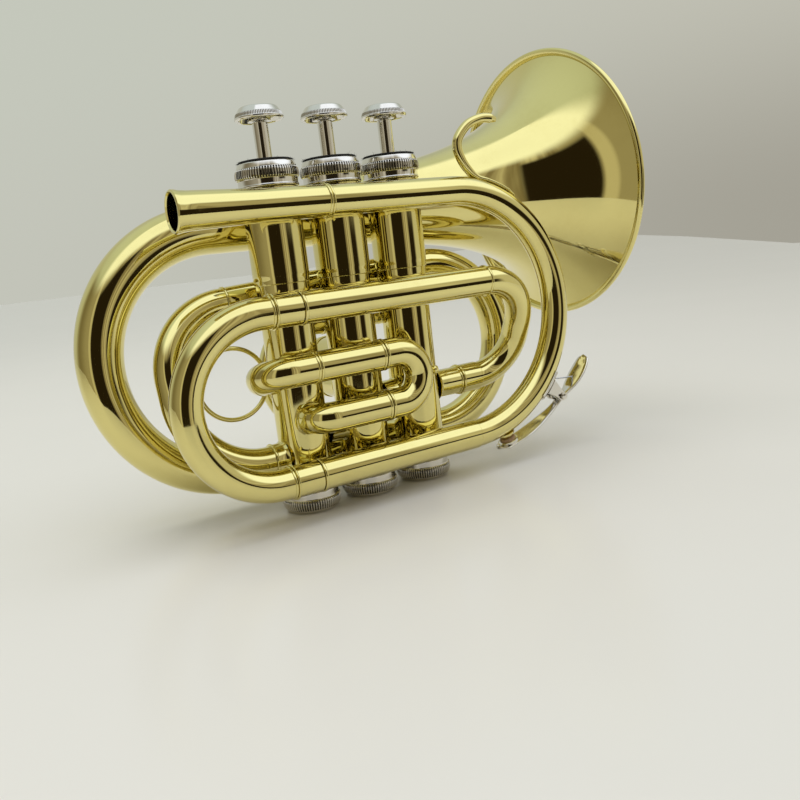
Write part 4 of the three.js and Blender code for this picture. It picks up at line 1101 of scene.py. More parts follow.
@dataclass
class LeadpipeBranch:
    """Receiver, leadpipe with its big bow, the outer slide tubes, and the small bow to valve three."""

    bore: float = 5.2
    run_radius: float = 6.05
    run_bore: float = 5.5
    run_bevel: Pair = (0.25, 0.2)
    rim_x: float = -71.1
    joint_x: float = -13.6
    joint_gap: float = 0.12
    ring: Pair = (1.1, 0.5)
    slide_ring: Pair = (1.2, 0.4)
    receiver_skin: Pairs = ((0, 7.0), (0.35, 7.35), (1.2, 7.35), (2.6, 7.0), (4.4, 6.85), (5.2, 6.75),
                            (31.5, 5.95))
    socket_bore: Pairs = ((0, 6.55), (0.5, 6.2), (30, 5.2))
    lower_mouth_x: float = -31.3
    upper_mouth_x: float = -30.3
    butt_x: float = 55.6
    small_front_x: float = 78.1
    entry_height: float = 38.0
    ferrule_front_x: float = 59.6
    ferrule_rear_x: float = 49.2
    ferrule_bevel: Pair = (0.3, 0.2)
    entry_fillet: Pairs = ((1.6, 0.0), (0.7, 0.5), (0.0, 1.2))

    def build(self, shop: Workshop) -> None:
        """Builds the branch from the receiver to the third valve."""
        self._leadpipe(shop)
        self._runs(shop)
        self._small_bow(shop)

    def _leadpipe(self, shop: Workshop) -> None:
        """The receiver, with a flanged mouth and a slow taper; the leadpipe, half round the big bow."""
        y, high = PLAN.near_y, PLAN.leadpipe
        route = Route(at(self.rim_x, y, high), X_AXIS).straight(self.joint_x - self.rim_x)
        skin = Outline.of(self.receiver_skin).ringed(route.length, self.ring)
        bore = Outline.of(self.socket_bore).to(route.length)
        shop.tube("receiver_tube", "mouthpiece_receiver", route, skin, bore, 64)
        start = self.joint_x + self.joint_gap
        route = Route(at(start, y, high), X_AXIS).straight(PLAN.bow_x - start)
        route.bend(Y_AXIS, 180, PLAN.bow_radius)
        skin = Outline(PLAN.pipe_radius).bead(self.ring).to(route.length)
        shop.tube("leadpipe_tube", "leadpipe", route, skin, self.bore, 64, 2.0)

    def _runs(self, shop: Workshop) -> None:
        """The two outer slide tubes, each with a ring at its mouth."""
        front = PLAN.bow_x - SEAM
        route = Route(at(front, PLAN.near_y, PLAN.lower_run), -X_AXIS).straight(front - self.lower_mouth_x)
        length, depth = self.run_bevel
        skin = Outline(self.run_radius - depth).to(length, self.run_radius)
        skin.ringed(route.length, self.slide_ring)
        shop.tube("lower_run_tube", "lower_run", route, skin, self.run_bore)
        route = Route(at(self.upper_mouth_x, PLAN.near_y, PLAN.middle_run), X_AXIS)
        route.straight(self.butt_x - self.upper_mouth_x)
        skin = Outline(self.run_radius).bead(self.slide_ring).ringed(route.length, PLAN.thin_ring)
        shop.tube("middle_run_tube", "middle_run", route, skin, self.run_bore)

    def _small_bow(self, shop: Workshop) -> None:
        """The small bow: a quarter turn, a short straight and a tighter quarter turn, in a tilted plane.
        Behind it come its ferrule and the short tube into the third casing."""
        start = at(self.butt_x + SEAM, PLAN.near_y, PLAN.middle_run)
        across = at(0, -PLAN.near_y, self.entry_height - PLAN.middle_run)
        upper = self.small_front_x - start[0]
        lower = self.small_front_x - self.ferrule_front_x - SEAM
        axis = np.cross(X_AXIS, across)
        route = Route(start, X_AXIS).bend(axis, 90, upper)
        route.straight(float(np.linalg.norm(across)) - upper - lower).bend(axis, 90, lower)
        skin = Outline(PLAN.small_radius).to(route.length)
        shop.tube("small_bow_tube", "small_bow", route, skin, PLAN.small_bore)
        route = Route(at(self.ferrule_front_x, 0, self.entry_height), -X_AXIS)
        route.straight(self.ferrule_front_x - self.ferrule_rear_x)
        length, depth = self.ferrule_bevel
        skin = Outline(PLAN.ferrule_radius - depth).to(length, PLAN.ferrule_radius)
        skin.ringed(route.length, PLAN.thin_ring)
        shop.tube("entry_sleeve", "entry_ferrule", route, skin, PLAN.small_bore)
        start = self.ferrule_rear_x - SEAM
        route = Route(at(start, 0, self.entry_height), -X_AXIS)
        route.straight(start - PLAN.casing_face + PLAN.casing_sink)
        skin = Outline(PLAN.small_radius).bead(PLAN.thin_ring).flared(route.length, self.entry_fillet)
        shop.tube("entry_pipe", "entry_tube", route, skin, PLAN.small_bore)


@dataclass
class TuningSlide:
    """The main tuning slide: a rear bow and two inner legs with ferrules."""

    bow_x: float = -45.6
    lower_x: float = -42.5
    upper_x: float = -41.5
    bow_bore: float = 5.3
    bow_ring: Pair = (1.0, 0.45)
    ferrule_ring: Pair = (1.0, 0.75)
    ferrule_length: float = 10.9
    ferrule_start: float = 6.0
    ferrule_radius: float = 6.1
    ferrule_mouth: float = 5.9
    ferrule_bevel: float = 0.2
    leg_radius: float = 5.2
    leg_bore: float = 4.75
    leg_length: float = 34.0

    def build(self, shop: Workshop) -> None:
        """Builds the bow and both legs."""
        y, low, high = PLAN.near_y, PLAN.lower_run, PLAN.middle_run
        start = self.lower_x - SEAM
        route = Route(at(start, y, low), -X_AXIS).straight(start - self.bow_x)
        route.half_turn(at(self.bow_x, y, high)).straight(self.upper_x - SEAM - self.bow_x)
        skin = Outline(PLAN.small_radius).bead(self.bow_ring).ringed(route.length, self.bow_ring)
        shop.tube("tuning_bow_tube", "tuning_bow", route, skin, self.bow_bore, 64, 2.5)
        for name, x, height in (("lower", self.lower_x, low), ("upper", self.upper_x, high)):
            route = Route(at(x, y, height), X_AXIS).straight(self.ferrule_length + self.leg_length)
            skin = Outline(self.ferrule_start).bead(self.ferrule_ring)
            skin.to(self.ferrule_ring[0], self.ferrule_radius)
            skin.to(self.ferrule_length - self.ferrule_bevel).to(self.ferrule_length, self.ferrule_mouth)
            skin.to(self.ferrule_length, self.leg_radius).to(route.length)
            shop.tube(f"tuning_inner_{name}", f"tuning_leg_{name}", route, skin, self.leg_bore)


@dataclass
class BellBranch:
    """From the first valve round the return bow, along the tail and its bow, to the bell."""

    exit_height: float = 22.3
    exit_ferrule_x: float = -41.8
    exit_fillet: Pairs = ((0.0, 1.0), (0.8, 0.4), (1.5, 0.0))
    rear_x: float = -72.4
    lower_bend: float = 29.5
    upper_bend: float = 27.5
    tail_rear: Spot = (-45.2, 17.8, 84.3)
    tail_front: Spot = (51.4, 19.0, 89.3)
    tail_radius: float = 6.0
    tail_front_radius: float = 6.7
    tail_lower: Spot = (51.4, 20.5, 15.0)
    tail_lower_radius: float = 7.1
    bell_lower: Spot = (-44.5, 20.6, 15.2)
    bell_upper: Spot = (-44.5, 26.8, 113.4)
    rim: Spot = (134.8, 26.8, 119.9)
    lower_radius: float = 7.5
    throat_radius: float = 9.9
    rim_radius: float = 63.0
    flare_offset: float = 36.6
    flare_power: float = 1.05
    wall: float = 0.5
    lip_radius: float = 1.5
    lip_inset: float = 0.4
    lip_setback: float = 0.9
    lip_turn: Pair = (262.0, -84.0)
    lip_clearance: float = 0.02
    lip_points: int = 29
    bell_sides: int = 176
    flare_rings: int = 121
    flare_crowding: float = 1.5
    spare_run: float = 3.0

    def build(self, shop: Workshop) -> None:
        """Builds the branch from the first valve to the bell."""
        self._return_bow(shop)
        self._tail(shop)
        self._bell(shop)

    def _return_bow(self, shop: Workshop) -> None:
        """The ferrule soldered to the first casing, then two quarter turns with a short straight
        between, in a tilted plane."""
        casing = PLAN.casing_sink - PLAN.casing_face
        route = Route(at(casing, 0, self.exit_height), -X_AXIS).straight(casing - self.exit_ferrule_x)
        skin = Outline.of(tuple((on, PLAN.ferrule_radius + rise) for on, rise in self.exit_fillet))
        skin.ringed(route.length, PLAN.thin_ring)
        shop.tube("exit_sleeve", "exit_ferrule", route, skin, PLAN.small_bore)
        start = at(self.exit_ferrule_x - SEAM, 0, self.exit_height)
        across = at(0, self.tail_rear[1], self.tail_rear[2] - self.exit_height)
        axis = np.cross(-X_AXIS, across)
        route = Route(start, -X_AXIS).straight(start[0] - self.rear_x - self.lower_bend)
        route.bend(axis, 90, self.lower_bend)
        route.straight(float(np.linalg.norm(across)) - self.lower_bend - self.upper_bend)
        route.bend(axis, 90, self.upper_bend)
        route.straight(self.tail_rear[0] - SEAM - self.rear_x - self.upper_bend)
        skin = Outline(PLAN.small_radius).to(route.length)
        shop.tube("return_bow_tube", "return_bow", route, skin, PLAN.small_bore, 64, 2.5)

    def _tail(self, shop: Workshop) -> None:
        """The bell tail: past the valves, round its front bow and back along the bottom."""
        places = self.tail_rear, self.tail_front, self.tail_lower, self.bell_lower
        rear, front, lower, end = map(np.array, places)
        route = Route(rear, front - rear).straight(float(np.linalg.norm(front - rear)))
        first = route.length
        second = route.aim(X_AXIS).half_turn(lower).length
        route.aim(end - route.tip).straight(float(np.linalg.norm(end - route.tip)) - SEAM)
        skin = Outline(self.tail_radius).bead(PLAN.thin_ring).to(first, self.tail_front_radius)
        skin.to(second, self.tail_lower_radius).to(route.length - PLAN.thin_ring[0], self.lower_radius)
        skin.bead(PLAN.thin_ring)
        bore = Outline(PLAN.small_bore).to(first, self.tail_front_radius - self.wall)
        bore.to(second, self.tail_lower_radius - self.wall).to(route.length, self.lower_radius - self.wall)
        shop.tube("bell_tail_tube", "bell_tail", route, skin, bore, 64, 2.5)

    def flare(self, share: Array) -> Array:
        """Radius of the flare at shares of its length.

        The radius grows with the distance left to a point past the rim, raised to a negative
        power, scaled so that it starts at the throat's radius and ends at the rim's.
        """
        length = self.rim[0] - self.bell_lower[0]
        reach = length + self.flare_offset
        ends = np.array([reach, self.flare_offset]) ** -self.flare_power
        scale = (self.rim_radius - self.throat_radius) / (ends[1] - ends[0])
        return self.throat_radius + scale * ((reach - share * length) ** -self.flare_power - ends[0])

    def _bell(self, shop: Workshop) -> None:
        """The bell: its rear bow, the flare, and a lip rolled over to the back at the rim.

        The lip is a circle just behind the rim plane, and both sides of the wall run into it.
        """
        start, top, rim = map(np.array, (self.bell_lower, self.bell_upper, self.rim))
        route = Route(start, -X_AXIS).half_turn(top)
        bend = route.length
        run = float(np.linalg.norm(rim - top))
        route.aim(rim - top).straight(run + self.spare_run)
        share = 1 - (1 - np.linspace(0, 1, self.flare_rings)) ** self.flare_crowding
        lip = np.array([bend + run - self.lip_setback, self.rim_radius - self.lip_inset])
        marks = route.stations(2.5)
        walls = []
        for thickness in (0.0, self.wall):
            rear = Outline(self.lower_radius - thickness).to(bend, self.throat_radius - thickness)
            line = np.stack([bend + run * share[1:], self.flare(share[1:]) - thickness], axis=1)
            line = line[np.linalg.norm(line - lip, axis=1) > self.lip_radius + self.lip_clearance]
            walls.append(np.concatenate([np.stack(rear.rings(marks[marks < bend]), axis=1), line]))
        turn = np.radians(np.linspace(*self.lip_turn, self.lip_points))
        roll = lip + self.lip_radius * spokes(turn, *np.eye(2))
        path = np.concatenate([walls[0], roll, walls[1][::-1]])
        surface = woven(circles(route, *path.T, self.bell_sides), True)
        shop.piece("bell_flare", surface, BRASS, "bell", crease=40)


@dataclass
class SlideSizes:
    """Sizes that the three small slides share. The knob's shares are of its length and its radius."""

    radius: float = 5.9
    bore: float = 5.45
    leg_radius: float = 5.2
    leg_bore: float = 4.75
    elbow: float = 6.9
    casing_sink: float = 0.8
    mouth_gap: float = 0.3
    fillet: Pairs = ((1.6, 0.0), (0.7, 0.4), (0.0, 1.1))
    knob_sink: float = 0.5
    knob_dome: float = 0.3
    knob_dome_shares: Pair = (0.8, 0.3)
    knob_shares: Pairs = ((0.0, 0.75), (0.35, 0.6), (0.5, 0.9), (0.7, 1.0))

    def tube(self, shop: Workshop, name: str, node: str, route: Route, first_ring: bool = True,
             soldered: bool = False) -> None:
        """An outer slide tube with a ring at each end, or a solder fillet where it meets a casing."""
        skin = Outline(self.radius)
        if first_ring:
            skin.bead(PLAN.thin_ring)
        if soldered:
            skin.flared(route.length, self.fillet)
        else:
            skin.ringed(route.length, PLAN.thin_ring)
        shop.tube(name, node, route, skin, self.bore)

    def crook(self, shop: Workshop, name: str, end: Array, heading: Array, drop: float, leg: float,
              ferrule: float, knob: Pair | None) -> None:
        """A crook: a thin leg, a ferrule, a half turn, a ferrule and a thin leg, with a knob at its crown.

        Args:
            shop: the workshop.
            name: which slide it belongs to.
            end: end of its upper leg.
            heading: direction of the upper leg.
            drop: height between the legs.
            leg: length of the thin legs.
            ferrule: length between the thin leg and the bend.
            knob: radius and length of the pull knob, or None.
        """
        route = Route(end, heading).straight(leg + ferrule)
        route.half_turn(route.tip - Z_AXIS * drop).straight(leg + ferrule)
        total = route.length
        skin = Outline(self.leg_radius).to(leg).to(leg, self.radius).bead(PLAN.thin_ring)
        skin.ringed(total - leg, PLAN.thin_ring).to(total - leg, self.leg_radius).to(total)
        surface = pipe(route, skin, self.leg_bore, 48, 5.0)
        if knob:
            wide, long = knob
            crown = end + heading * (leg + ferrule + drop / 2) - Z_AXIS * drop / 2
            stub = Route(crown + heading * (self.radius - self.knob_sink), heading)
            stub.straight(long + self.knob_sink)
            shape = Outline.of(tuple((long * on, wide * size) for on, size in self.knob_shares))
            edge, tip = (wide * share for share in self.knob_dome_shares)
            shape.to(stub.length - self.knob_dome, edge).to(stub.length, tip)
            surface = surface.joined(rod(stub, shape))
        shop.piece(f"{name}_crook_tube", surface, BRASS, f"{name}_slide_crook")


@dataclass
class FirstSlide:
    """The first valve slide: a long loop on the near side whose front crook pulls forward."""

    sizes: SlideSizes = field(default_factory=SlideSizes)
    y: float = -17.6
    upper: float = 57.6
    lower: float = 37.6
    turn_x: float = -34.8
    turn_height: float = 53.6
    joint_x: float = -26.4
    mouth_x: float = 2.0
    crook_x: float = 8.8
    leg: float = 20.0
    knob: Pair = (1.9, 3.2)

    def build(self, shop: Workshop) -> None:
        """Builds the rear turn, both outer tubes and the crook."""
        sizes = self.sizes
        route = Route(at(self.turn_x, 0, self.turn_height), -X_AXIS)
        route.half_turn(at(self.turn_x, self.y, self.upper)).straight(self.joint_x - SEAM - self.turn_x)
        sizes.tube(shop, "first_turn_tube", "first_slide_turn", route, False)
        route = Route(at(self.joint_x, self.y, self.upper), X_AXIS).straight(self.mouth_x - self.joint_x)
        sizes.tube(shop, "first_outer_upper", "first_slide_upper_tube", route)
        route = Route(at(self.mouth_x, self.y, self.lower), -X_AXIS)
        route.straight(self.mouth_x + PLAN.pitch - sizes.elbow).bend(Z_AXIS, -90, sizes.elbow)
        route.straight(-self.y - sizes.elbow - PLAN.casing_radius + sizes.casing_sink)
        sizes.tube(shop, "first_outer_lower", "first_slide_lower_tube", route, True, True)
        mouth = self.mouth_x + sizes.mouth_gap
        sizes.crook(shop, "first", at(mouth - self.leg, self.y, self.upper), X_AXIS, self.upper - self.lower,
                    self.leg, self.crook_x - mouth, self.knob)


@dataclass
class SecondSlide:
    """The second valve slide, which points to the player's left."""

    sizes: SlideSizes = field(default_factory=SlideSizes)
    upper: float = 58.0
    lower: float = 44.0
    mouth_y: float = 24.0
    ferrule: float = 2.6
    leg: float = 12.4
    knob: Pair = (2.0, 3.4)

    def build(self, shop: Workshop) -> None:
        """Builds both outer tubes and the crook."""
        sizes = self.sizes
        for name, height in (("upper", self.upper), ("lower", self.lower)):
            route = Route(at(0, self.mouth_y, height), -Y_AXIS)
            route.straight(self.mouth_y - PLAN.casing_radius + sizes.casing_sink)
            sizes.tube(shop, f"second_outer_{name}", f"second_slide_{name}_tube", route, True, True)
        tip = at(0, self.mouth_y + sizes.mouth_gap - self.leg, self.upper)
        sizes.crook(shop, "second", tip, Y_AXIS, self.upper - self.lower, self.leg, self.ferrule, self.knob)


@dataclass
class ThirdSlide:
    """The third valve slide, which runs along the far side towards the player."""

    sizes: SlideSizes = field(default_factory=lambda: SlideSizes(5.8, 5.35, 5.1, 4.65))
    y: float = 17.7
    upper: float = 72.0
    lower: float = 30.2
    mouth_x: float = -3.5
    ferrule: float = 4.4
    leg: float = 21.0

    def build(self, shop: Workshop) -> None:
        """Builds both outer tubes with their elbows and the crook."""
        sizes = self.sizes
        for name, height in (("upper", self.upper), ("lower", self.lower)):
            route = Route(at(self.mouth_x, self.y, height), X_AXIS)
            route.straight(PLAN.pitch - sizes.elbow - self.mouth_x).bend(Z_AXIS, -90, sizes.elbow)
            route.straight(self.y - sizes.elbow - PLAN.casing_radius + sizes.casing_sink)
            sizes.tube(shop, f"third_outer_{name}", f"third_slide_{name}_tube", route, True, True)
        tip = at(self.mouth_x - sizes.mouth_gap + self.leg, self.y, self.upper)
        sizes.crook(shop, "third", tip, -X_AXIS, self.upper - self.lower, self.leg, self.ferrule, None)


@dataclass
class FingerFittings:
    """The hook for the little finger and the ring for the other hand.

    Widths along the hook are given at numbers of its control points.
    """

    foot_angles: Pair = (55.0, 76.0)
    foot_rise: float = 6.25
    hook_x: Row = (52.9, 49.7, 47.9, 49.0, 53.8, 59.5, 64.0, 68.4)
    hook_z: Row = (124.6, 128.8, 133.8, 138.0, 142.7, 144.9, 145.3, 144.6)
    width_at: Row = (0, 0.3, 1, 4, 6, 8, 12.4, 13)
    half_widths: Row = (1.1, 1.9, 2.7, 2.6, 2.0, 1.9, 1.85, 1.1)
    half_depths: Row = (0.3, 0.6, 0.8, 0.9, 1.5, 1.9, 1.85, 1.1)
    hook_rings: int = 150
    ring_centre: Spot = (-49.6, 8.0, 53.5)
    ring_radius: float = 13.8
    ring_wire: float = 0.9
    stalk_sink: float = 2.2
    stalk_overlap: float = 0.2
    stalk_foot: float = 1.15
    stalk_chamfer: float = 0.8
    stalk_radius: float = 1.5
    stalk_fillet: Pairs = ((3.4, 0.0), (2.4, 0.5), (1.4, 1.4), (0.0, 1.6))

    def build(self, shop: Workshop) -> None:
        """Builds the hook and the ring."""
        foot = np.linspace(*np.radians(self.foot_angles), 6)
        reach = PLAN.bow_radius + self.foot_rise
        xs = np.concatenate([PLAN.bow_x + reach * np.cos(foot), self.hook_x])
        zs = np.concatenate([PLAN.bow_height + reach * np.sin(foot), self.hook_z])
        control = np.stack([xs, np.full(len(xs), PLAN.near_y), zs], axis=1)
        points, headings = through(control, self.hook_rings)
        place = np.linspace(0, len(xs) - 1, self.hook_rings)
        wide, deep = (np.interp(place, self.width_at, size) for size in (self.half_widths, self.half_depths))
        surface = bar(points, Y_AXIS, np.cross(headings, Y_AXIS), wide, deep, 32, 0.85)
        shop.piece("hook_rod", surface, BRASS, "pinky_hook", crease=45)
        centre = np.array(self.ring_centre)
        casing = -PLAN.pitch - math.sqrt(PLAN.casing_radius ** 2 - centre[1] ** 2)
        begin = centre + at(self.ring_radius - self.stalk_overlap, 0, 0)
        route = Route(begin, X_AXIS).straight(casing - begin[0] + self.stalk_sink)
        skin = Outline(self.stalk_foot).to(self.stalk_chamfer, self.stalk_radius)
        skin.flared(route.length, self.stalk_fillet)
        surface = hoop(centre, self.ring_radius, self.ring_wire).joined(rod(route, skin, 32))
        shop.piece("finger_ring", surface, BRASS, "thumb_ring")


@dataclass
class WaterKey:
    """The water key on the front bow: nipple, cork, saddle, pin, lever and its wire spring.

    Angles are degrees about the bow's centre, and a rise is measured out from the bow's centre line.
    """

    pivot: float = -42.0
    pivot_rise: float = 13.5
    cork: float = -73.0
    nipple_top: float = 7.5
    nipple_sink: float = 0.5
    nipple_skin: Pairs = ((0, 3.9), (0.9, 3.7), (1.3, 2.9), (1.9, 2.7), (2.3, 2.4))
    nipple_bore: float = 1.4
    cork_top: float = 9.6
    cork_seat: float = 0.05
    cork_skin: Pairs = ((0, 3.0), (0.3, 3.35), (1.85, 3.4), (2.05, 3.3))
    cup_skin: Pairs = ((0, 3.9), (0.2, 4.3), (1.4, 4.3), (1.7, 4.0))
    cup_drop: float = 0.9
    cup_bore: float = 3.5
    saddle_spread: float = 7.0
    saddle_wrap: float = 62.0
    saddle_rises: Pair = (-0.05, 0.9)
    barrel_radius: float = 2.1
    barrel_half: float = 2.5
    barrel_bevel: float = 0.2
    barrel_play: float = 0.1
    coil_half: float = 1.2
    coil_turns: float = 3.5
    coil_play: float = 0.05
    wire_radius: float = 0.3
    wire_spots: Pairs = ((-41.5, 10.6), (-40.0, 8.6), (-38.4, 7.5), (-36.9, 8.2), (-35.2, 11.2),
                         (-33.2, 15.2), (-31.6, 18.4))
    wire_still: Pair = (-38.4, 8.0)
    wire_moved: Pair = (-32.5, 16.5)
    ear_thickness: float = 1.3
    ear_radius: float = 2.1
    ear_gap: float = 0.25
    ear_waist: float = 2.4
    ear_foot: float = 3.4
    ear_sink: float = 0.2
    pin_radius: float = 0.9
    pin_skin: Pairs = ((0, 1.0), (0.15, 1.45), (1.0, 1.45), (1.1, 0.9), (10.6, 0.9), (11, 0.5))
    pin_half: float = 5.5
    lever_angles: Row = (-79, -76, -72, -66, -60, -54, -48, -42, -38, -35, -31, -27, -24, -22.5)
    lever_rises: Row = (9.9, 10.55, 10.55, 11.2, 12.0, 13.0, 14.4, 15.9, 17.2, 18.1, 19.1, 20.1, 20.8,
                        21.1)
    lever_widths: Row = (3.6, 4.9, 5.0, 4.9, 4.4, 3.5, 2.4, 1.9, 2.6, 4.0, 4.8, 4.5, 3.4, 1.8)
    lever_half: float = 0.7
    lever_rings: int = 160
    lever_tip: float = 0.8
    wire_rings: int = 190

    def out(self, degrees: float) -> Array:
        """Direction away from the bow's centre."""
        return spokes(np.radians([degrees]), X_AXIS, Z_AXIS)[0]

    def point(self, degrees: float, rise: float, y: float = PLAN.near_y) -> Array:
        """The point at an angle about the bow's centre and a rise."""
        return at(PLAN.bow_x, y, PLAN.bow_height) + self.out(degrees) * (PLAN.bow_radius + rise)

    def post(self, low: float, length: float) -> Route:
        """A line out from the bow at the cork."""
        return Route(self.point(self.cork, low), self.out(self.cork)).straight(length)

    def hinge(self, start: float, length: float) -> Route:
        """A line along the hinge, from a distance to its middle."""
        return Route(self.point(self.pivot, self.pivot_rise, PLAN.near_y + start), Y_AXIS).straight(length)

    def build(self, shop: Workshop) -> None:
        """Builds the fixed pieces, then the moving ones."""
        foot = PLAN.pipe_radius - self.nipple_sink
        route = self.post(foot, self.nipple_top - foot)
        shop.tube("nipple_tube", "water_key_nipple", route, Outline.of(self.nipple_skin), self.nipple_bore)
        self._saddle(shop)
        surface = rod(self.hinge(-self.pin_half, 2 * self.pin_half), Outline.of(self.pin_skin))
        shop.piece("hinge_screw", surface, NICKEL, "water_key_pin")
        foot = self.nipple_top + self.cork_seat
        surface = rod(self.post(foot, self.cork_top - foot), Outline.of(self.cork_skin), 48)
        shop.piece("cork_pad", surface, CORK, "water_key_cork")
        self._lever(shop)
        self._wire(shop)

    def _saddle(self, shop: Workshop) -> None:
        """A plate on the bow with two ears that hold the pin."""
        rear = self.pivot - self.saddle_spread
        route = Route(self.point(rear, 0), self.out(rear + 90))
        route.bend(-Y_AXIS, 2 * self.saddle_spread, PLAN.bow_radius)
        radius = PLAN.pipe_radius
        inner, outer = (radius + rise for rise in self.saddle_rises)
        surface = cuff(route, inner, outer, self.saddle_wrap, self.out(rear))
        out = self.out(self.pivot)
        height, waist, foot = self.pivot_rise - radius, self.ear_waist, self.ear_foot
        half, base = -height / 2, -height - self.ear_sink
        tab = np.concatenate([self.ear_radius * spokes(np.linspace(0, math.pi, 17), *np.eye(2)),
                              [[-waist, half], [-foot, base], [foot, base], [waist, half]]])
        for side in (-1, 1):
            y = PLAN.near_y + side * (self.barrel_half + self.ear_gap + self.ear_thickness / 2)
            origin = self.point(self.pivot, self.pivot_rise, y)
            surface = surface.joined(slab(tab, origin, np.cross(Y_AXIS, out), out, self.ear_thickness / 2))
        shop.piece("hinge_saddle", surface, NICKEL, "water_key_saddle")

    def _lever(self, shop: Workshop) -> None:
        """The lever: a shaped plate over the cork, a narrow waist at the hinge and an oval touch."""
        control = np.stack([self.point(*place) for place in zip(self.lever_angles, self.lever_rises)])
        points, headings = through(control, self.lever_rings)
        place = np.linspace(0, len(control) - 1, self.lever_rings)
        wide = np.interp(place, range(len(control)), self.lever_widths)
        smooth = np.convolve(np.pad(wide, 6, mode="edge"), np.ones(13) / 13, "valid")
        tips = np.sqrt(np.clip(np.minimum(place, place[::-1]) / self.lever_tip, 0.02, 1))
        surface = bar(points, Y_AXIS, np.cross(headings, Y_AXIS), smooth * tips,
                      np.full(self.lever_rings, self.lever_half), 32, 0.6)
        lug, outer, bevel = self.barrel_half - self.coil_half, self.barrel_radius, self.barrel_bevel
        skin = Outline(outer - bevel).to(bevel, outer).to(lug - bevel).to(lug, outer - bevel)
        for start in (-self.barrel_half, self.coil_half):
            barrel = pipe(self.hinge(start, lug), skin, self.pin_radius + self.barrel_play, 32)
            surface = surface.joined(barrel)
        cup = self.post(self.cork_top - self.cup_drop, self.cup_skin[-1][0])
        surface = surface.joined(pipe(cup, Outline.of(self.cup_skin), self.cup_bore))
        shop.piece("lever_plate", surface, NICKEL, "water_key_lever", crease=40)

    def _wire(self, shop: Workshop) -> None:
        """The lever's wire spring: turns round the hinge pin, and an arm from the bow to the touch."""
        out = self.out(self.pivot)
        turn = np.linspace(0, 2 * math.pi * self.coil_turns, int(self.coil_turns * 24) + 1)
        reach = self.pin_radius + self.wire_radius + self.coil_play
        coil = self.point(self.pivot, self.pivot_rise) + reach * spokes(turn, out, np.cross(Y_AXIS, out))
        coil[:, 1] += np.linspace(-1, 1, len(turn)) * (self.coil_half - self.wire_radius)
        arm, _ = through(np.stack([self.point(*spot, coil[-1, 1]) for spot in self.wire_spots]), 60)
        points, headings = through(np.concatenate([coil, arm])[::2], self.wire_rings)
        side = unit(np.cross(headings, Y_AXIS))
        wire = np.full(self.wire_rings, self.wire_radius)
        surface = bar(points, side, np.cross(headings, side), wire, sides=10)
        bodies = shop.body_of["water_key_saddle"], shop.body_of["water_key_lever"]
        bends = (*bodies, self.point(*self.wire_still), self.point(*self.wire_moved))
        shop.piece("key_wire", surface, STEEL, bends=bends)


